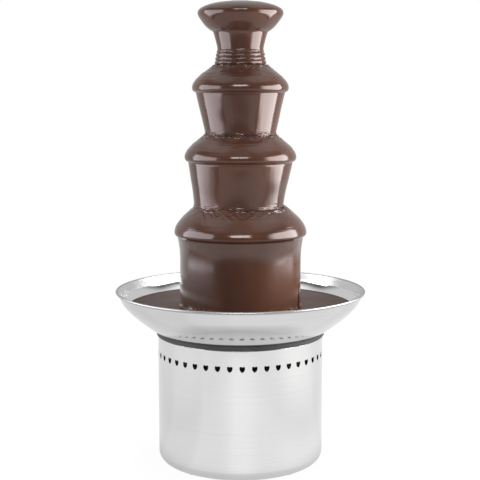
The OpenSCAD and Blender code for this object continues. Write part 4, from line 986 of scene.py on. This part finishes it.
def crown_skin(name, seed):
    foot = landing(upper, NECK_FOOT_R)
    swell = np.linspace(0, math.pi / 2, 50)
    dome = np.stack([CROWN_R * np.sin(swell), crown_rim_z + CROWN_DOME_H * np.cos(swell)], axis=1)
    neck = np.array([CROWN_NECK_R, cup_foot_z - SLACK])
    waist = np.array([WAIST_R, waist_z])
    outer = np.concatenate([dome, cup_curve(FILM, 40), fall_curve(waist, neck, 24), [foot]])
    outer = softened(outer, STEP, 2.2 * MM)
    outer[0] = [0.0, crown_rim_z + CROWN_DOME_H]
    facing = outward(outer)
    facing[0] = [0.0, 1.0]
    r, z = outer[:, :1], outer[:, 1:]
    wave = wave_maker(np.linspace(0, 1, len(outer))[:, None], seed)
    away = np.clip(r / (20 * MM), 0, 1)
    coil_h = (waist_z - foot[1]) / RING_COUNT
    coils = (waist_z - z) / coil_h + 0.2 * np.sin(angles + 0.6) + 0.3 * wave(11, 4, 0)
    in_coils = above(-z, 0.6 * coil_h - waist_z, 0.5 * MM)
    rings = np.abs(np.sin(math.pi * coils)) ** 0.7
    on_top = away * above(z, crown_rim_z, MASK_EDGE)
    push = on_top * 0.08 * wave(20, 160, 1) + away * 0.2 * wave(8, 12, 2)
    push = push + in_coils * (1.7 * rings - 0.7 + 0.3 * wave(40, 60, 3))
    cup_in = cup_curve(SLACK, 10)[::-1]
    rim = cup_in[-1]
    inner = np.concatenate([
        [foot - [CURTAIN_T, 0]], fall_curve(waist - [CURTAIN_T, 0], neck - [CURTAIN_T, 0], 8)[::-1],
        [[CROWN_NECK_R - FILM + SLACK, cup_foot_z - SLACK]], cup_in, [rim + [0, SLACK]],
        [rim + [-TIER_SHEET - 2 * SLACK, SLACK]], cup_curve(-TIER_SHEET - SLACK, 10)[:-1],
        [[CROWN_NECK_R - FILM, cup_foot_z + TIER_SHEET + SLACK], [0.0, cup_foot_z + TIER_SHEET + SLACK]]])
    outline = np.concatenate([outer, inner])
    return turned(name, outline, COLUMNS, pushed(push * MM, facing, len(inner)))


skin_crown = crown_skin("chocolate_fall_crown", 71)
dress(skin_crown, "top", "chocolate", "chocolate", "chocolate_crown")

# %% [markdown]
# ## The pool
# The bowl holds the chocolate that has run down. Its surface creeps up the steel at the edge, and low
# rings spread from the foot of the curtain.

# %% Pool
POOL_HOLE_R = 44.6 * MM


def pool_outline():
    wall = bowl_wall() + [-0.9 * MM, 0.0]
    wetted = wall[(wall[:, 1] > bowl_z + 3 * MM) & (wall[:, 1] < pool_z)]
    floor_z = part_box("chocolate_pool")[0].z
    edge_r = float(np.interp(pool_z, wall[:, 1], wall[:, 0]))
    reach = np.linspace(POOL_HOLE_R, edge_r, 150)
    creep = 0.9 * MM * np.exp(-(edge_r - reach) / (1.2 * MM))
    top = np.stack([reach, pool_z - 0.3 * MM + creep], axis=1)[::-1]
    under = np.concatenate([[[POOL_HOLE_R, floor_z], [BOWL_FOOT_R - 4 * MM, floor_z]], wetted])
    return np.concatenate([under, top]), len(under)


outline, under_count = pool_outline()
radii = outline[:, :1]
wave = wave_maker((radii - POOL_HOLE_R) / (radii.max() - POOL_HOLE_R), 91)
near = hump(radii, LOWER_FOOT_R + 2 * MM, 9 * MM)
waves = near * (0.07 * np.sin(radii / (1.3 * MM) + 1.5 * wave(16, 8, 0)))
waves = waves + 0.10 * wave(18, 9, 1) + 0.08 * near * wave(90, 60, 2)
waves[:under_count] = 0
edge_fade = np.clip((radii.max() - radii) / (6 * MM), 0, 1)
pool = turned("chocolate_pool_surface", outline, COLUMNS, (0 * waves, waves * edge_fade * MM))
dress(pool, "base", "chocolate_pool_skin", "chocolate", "chocolate_pool")

# %% [markdown]
# Where the curtain meets the pool it whips in air, and small bubbles gather and heap up at its foot. They
# are seeded at random along two arcs and joined in one mesh.

# %% Froth
FROTH_ARCS = ((-58, -14, 110), (26, 55, 60))
FROTH_H, BUBBLE_MM = 8.0 * MM, (0.45, 1.25)
draws = np.random.default_rng(5)
froth_mesh = bmesh.new()
for start, end, count in FROTH_ARCS:
    for turn_at in np.radians(draws.uniform(start, end, count)):
        away = draws.uniform(0, 1)
        r = LOWER_FOOT_R + (0.7 + 5.5 * away) * MM
        size = draws.uniform(*BUBBLE_MM) * MM
        bubble = bmesh.ops.create_icosphere(froth_mesh, subdivisions=2, radius=size)
        heap_z = pool_z + (1 - away) * draws.uniform(0, FROTH_H)
        place = Vector((r * math.sin(turn_at), -r * math.cos(turn_at), heap_z))
        bmesh.ops.translate(froth_mesh, verts=bubble["verts"], vec=place)
froth = add_object("froth_bubbles", mesh_from(froth_mesh, "froth_bubbles"))
froth.data.polygons.foreach_set("use_smooth", [True] * len(froth.data.polygons))
dress(froth, "base", "chocolate_froth", "chocolate")

# %% [markdown]
# ## Marks on the controls
# The controls are in a recess at the back. Plain printed marks show how they are used: a scale of strokes
# round the knob that grow with the heat, a pointer on its grip, and a stroke and a ring on each rocker.
# Each mark is a thin raised shape, made on a plane with its own upward direction, because the rockers'
# faces are tilted.

# %% Mark helper
RIGHT = Vector((-1, 0, 0))
MARK_SUNK, MARK_PROUD = -0.15 * MM, 0.15 * MM
CORE_SHARE = 0.02


def print_mark(name, shapes, origin, up, body, slot):
    up = Vector(up).normalized()
    facing = RIGHT.cross(up)
    work = bmesh.new()
    for outer_loop, inner_loop in shapes:
        rings = []
        for loop, depth in ((outer_loop, MARK_SUNK), (outer_loop, MARK_PROUD),
                            (inner_loop, MARK_PROUD), (inner_loop, MARK_SUNK)):
            level_at = Vector(origin) + facing * depth
            rings.append([work.verts.new(level_at + RIGHT * u + up * v) for u, v in loop])
        for ring, next_ring in zip(rings, rings[1:] + rings[:1]):
            for k in range(len(ring)):
                n = (k + 1) % len(ring)
                work.faces.new((ring[k], ring[n], next_ring[n], next_ring[k]))
    bmesh.ops.remove_doubles(work, verts=work.verts, dist=1e-6)
    bmesh.ops.recalc_face_normals(work, faces=work.faces)
    return dress(add_object(name, mesh_from(work, name)), body, "mark_white", slot)


def stroke(low_uv, high_uv, width):
    low_uv, high_uv = np.array(low_uv), np.array(high_uv)
    along = (high_uv - low_uv) / np.linalg.norm(high_uv - low_uv)
    tilt = math.degrees(math.atan2(along[1], along[0]))
    high_cap = arc(high_uv, width / 2, tilt - 90, tilt + 90, 7)
    low_cap = arc(low_uv, width / 2, tilt + 90, tilt + 270, 7)
    loop = np.concatenate([high_cap, low_cap])
    middle = (low_uv + high_uv) / 2
    return loop, middle + (loop - middle) * CORE_SHARE


print("marks stand", MARK_PROUD / MM, "mm proud")

# %% Scale, pointer and rocker marks
PANEL_Y, CONTROL_Z = 105.0 * MM, 74.2 * MM
SCALE_STEPS, SCALE_TURN, SCALE_R = 11, 270, 14.6 * MM
scale = []
for k in range(SCALE_STEPS):
    turn_at = math.radians(SCALE_TURN * k / (SCALE_STEPS - 1))
    ray = np.array([-math.sin(turn_at), math.cos(turn_at)])
    length = (3.6 if k == 0 else 1.2 + 0.2 * k) * MM
    scale.append(stroke(ray * SCALE_R, ray * (SCALE_R + length), 0.7 * MM))
print_mark("dial_scale", scale, (0, PANEL_Y, CONTROL_Z), (0, 0, 1), "base", "panel_plastic")
knob_face_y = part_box("temperature_knob")[1].y
pointer = [stroke((0, 5.0 * MM), (0, 9.0 * MM), 1.1 * MM)]
print_mark("knob_pointer", pointer, (0, knob_face_y, CONTROL_Z), (0, 0, 1), "knob", "panel_plastic")

ROCKER_X, ROCKER_AXIS_Y, ROCKER_FACE, ROCKER_TILT = 28.0 * MM, 104.0 * MM, 3.2 * MM, math.radians(8)
ROCKERS = ((-ROCKER_X, "motor_switch", "rocker_black"), (ROCKER_X, "heater_switch", "rocker_red"))
MARK_OUT = 5.0 * MM
on_shape = [stroke((0, -1.9 * MM), (0, 1.9 * MM), 0.8 * MM)]
off_shape = [(arc((0, 0), 2.2 * MM, 0, 345, 24), arc((0, 0), 1.5 * MM, 0, 345, 24))]
for x, body, slot in ROCKERS:
    for label, shape, half in (("on", on_shape, 1), ("off", off_shape, -1)):
        out = ROCKER_FACE + MARK_OUT * math.tan(ROCKER_TILT)
        y = out * math.cos(ROCKER_TILT) + half * MARK_OUT * math.sin(ROCKER_TILT)
        z = half * MARK_OUT * math.cos(ROCKER_TILT) - out * math.sin(ROCKER_TILT)
        tilt = ROCKER_TILT * (1 + half)
        place = (x, ROCKER_AXIS_Y + y, CONTROL_Z + z)
        print_mark(body + "_" + label, shape, place, (0, math.sin(tilt), math.cos(tilt)), body, slot)

# %% [markdown]
# ## The other CAD pieces
# Everything else keeps its CAD mesh and takes the finish of its material slot in the record. Only the tie
# rods and their nuts, which stand right behind the vents, are painted near black as shade, so that the
# vents look as dark as the shaded inside of the drum.

# %% Finish the CAD nodes
# Painted shade: the rods behind the vents take a near-black finish in place of their own.
SHADE_BLACKENED = ("tie_rods", "rod_nuts")
for row in frame["record"]["subparts"]:
    finish = "rod_painted_shade" if row["node"] in SHADE_BLACKENED else row["material_slot"]
    node = frame["nodes"][row["node"]]
    node.data.materials.clear()
    node.data.materials.append(finishes[finish])
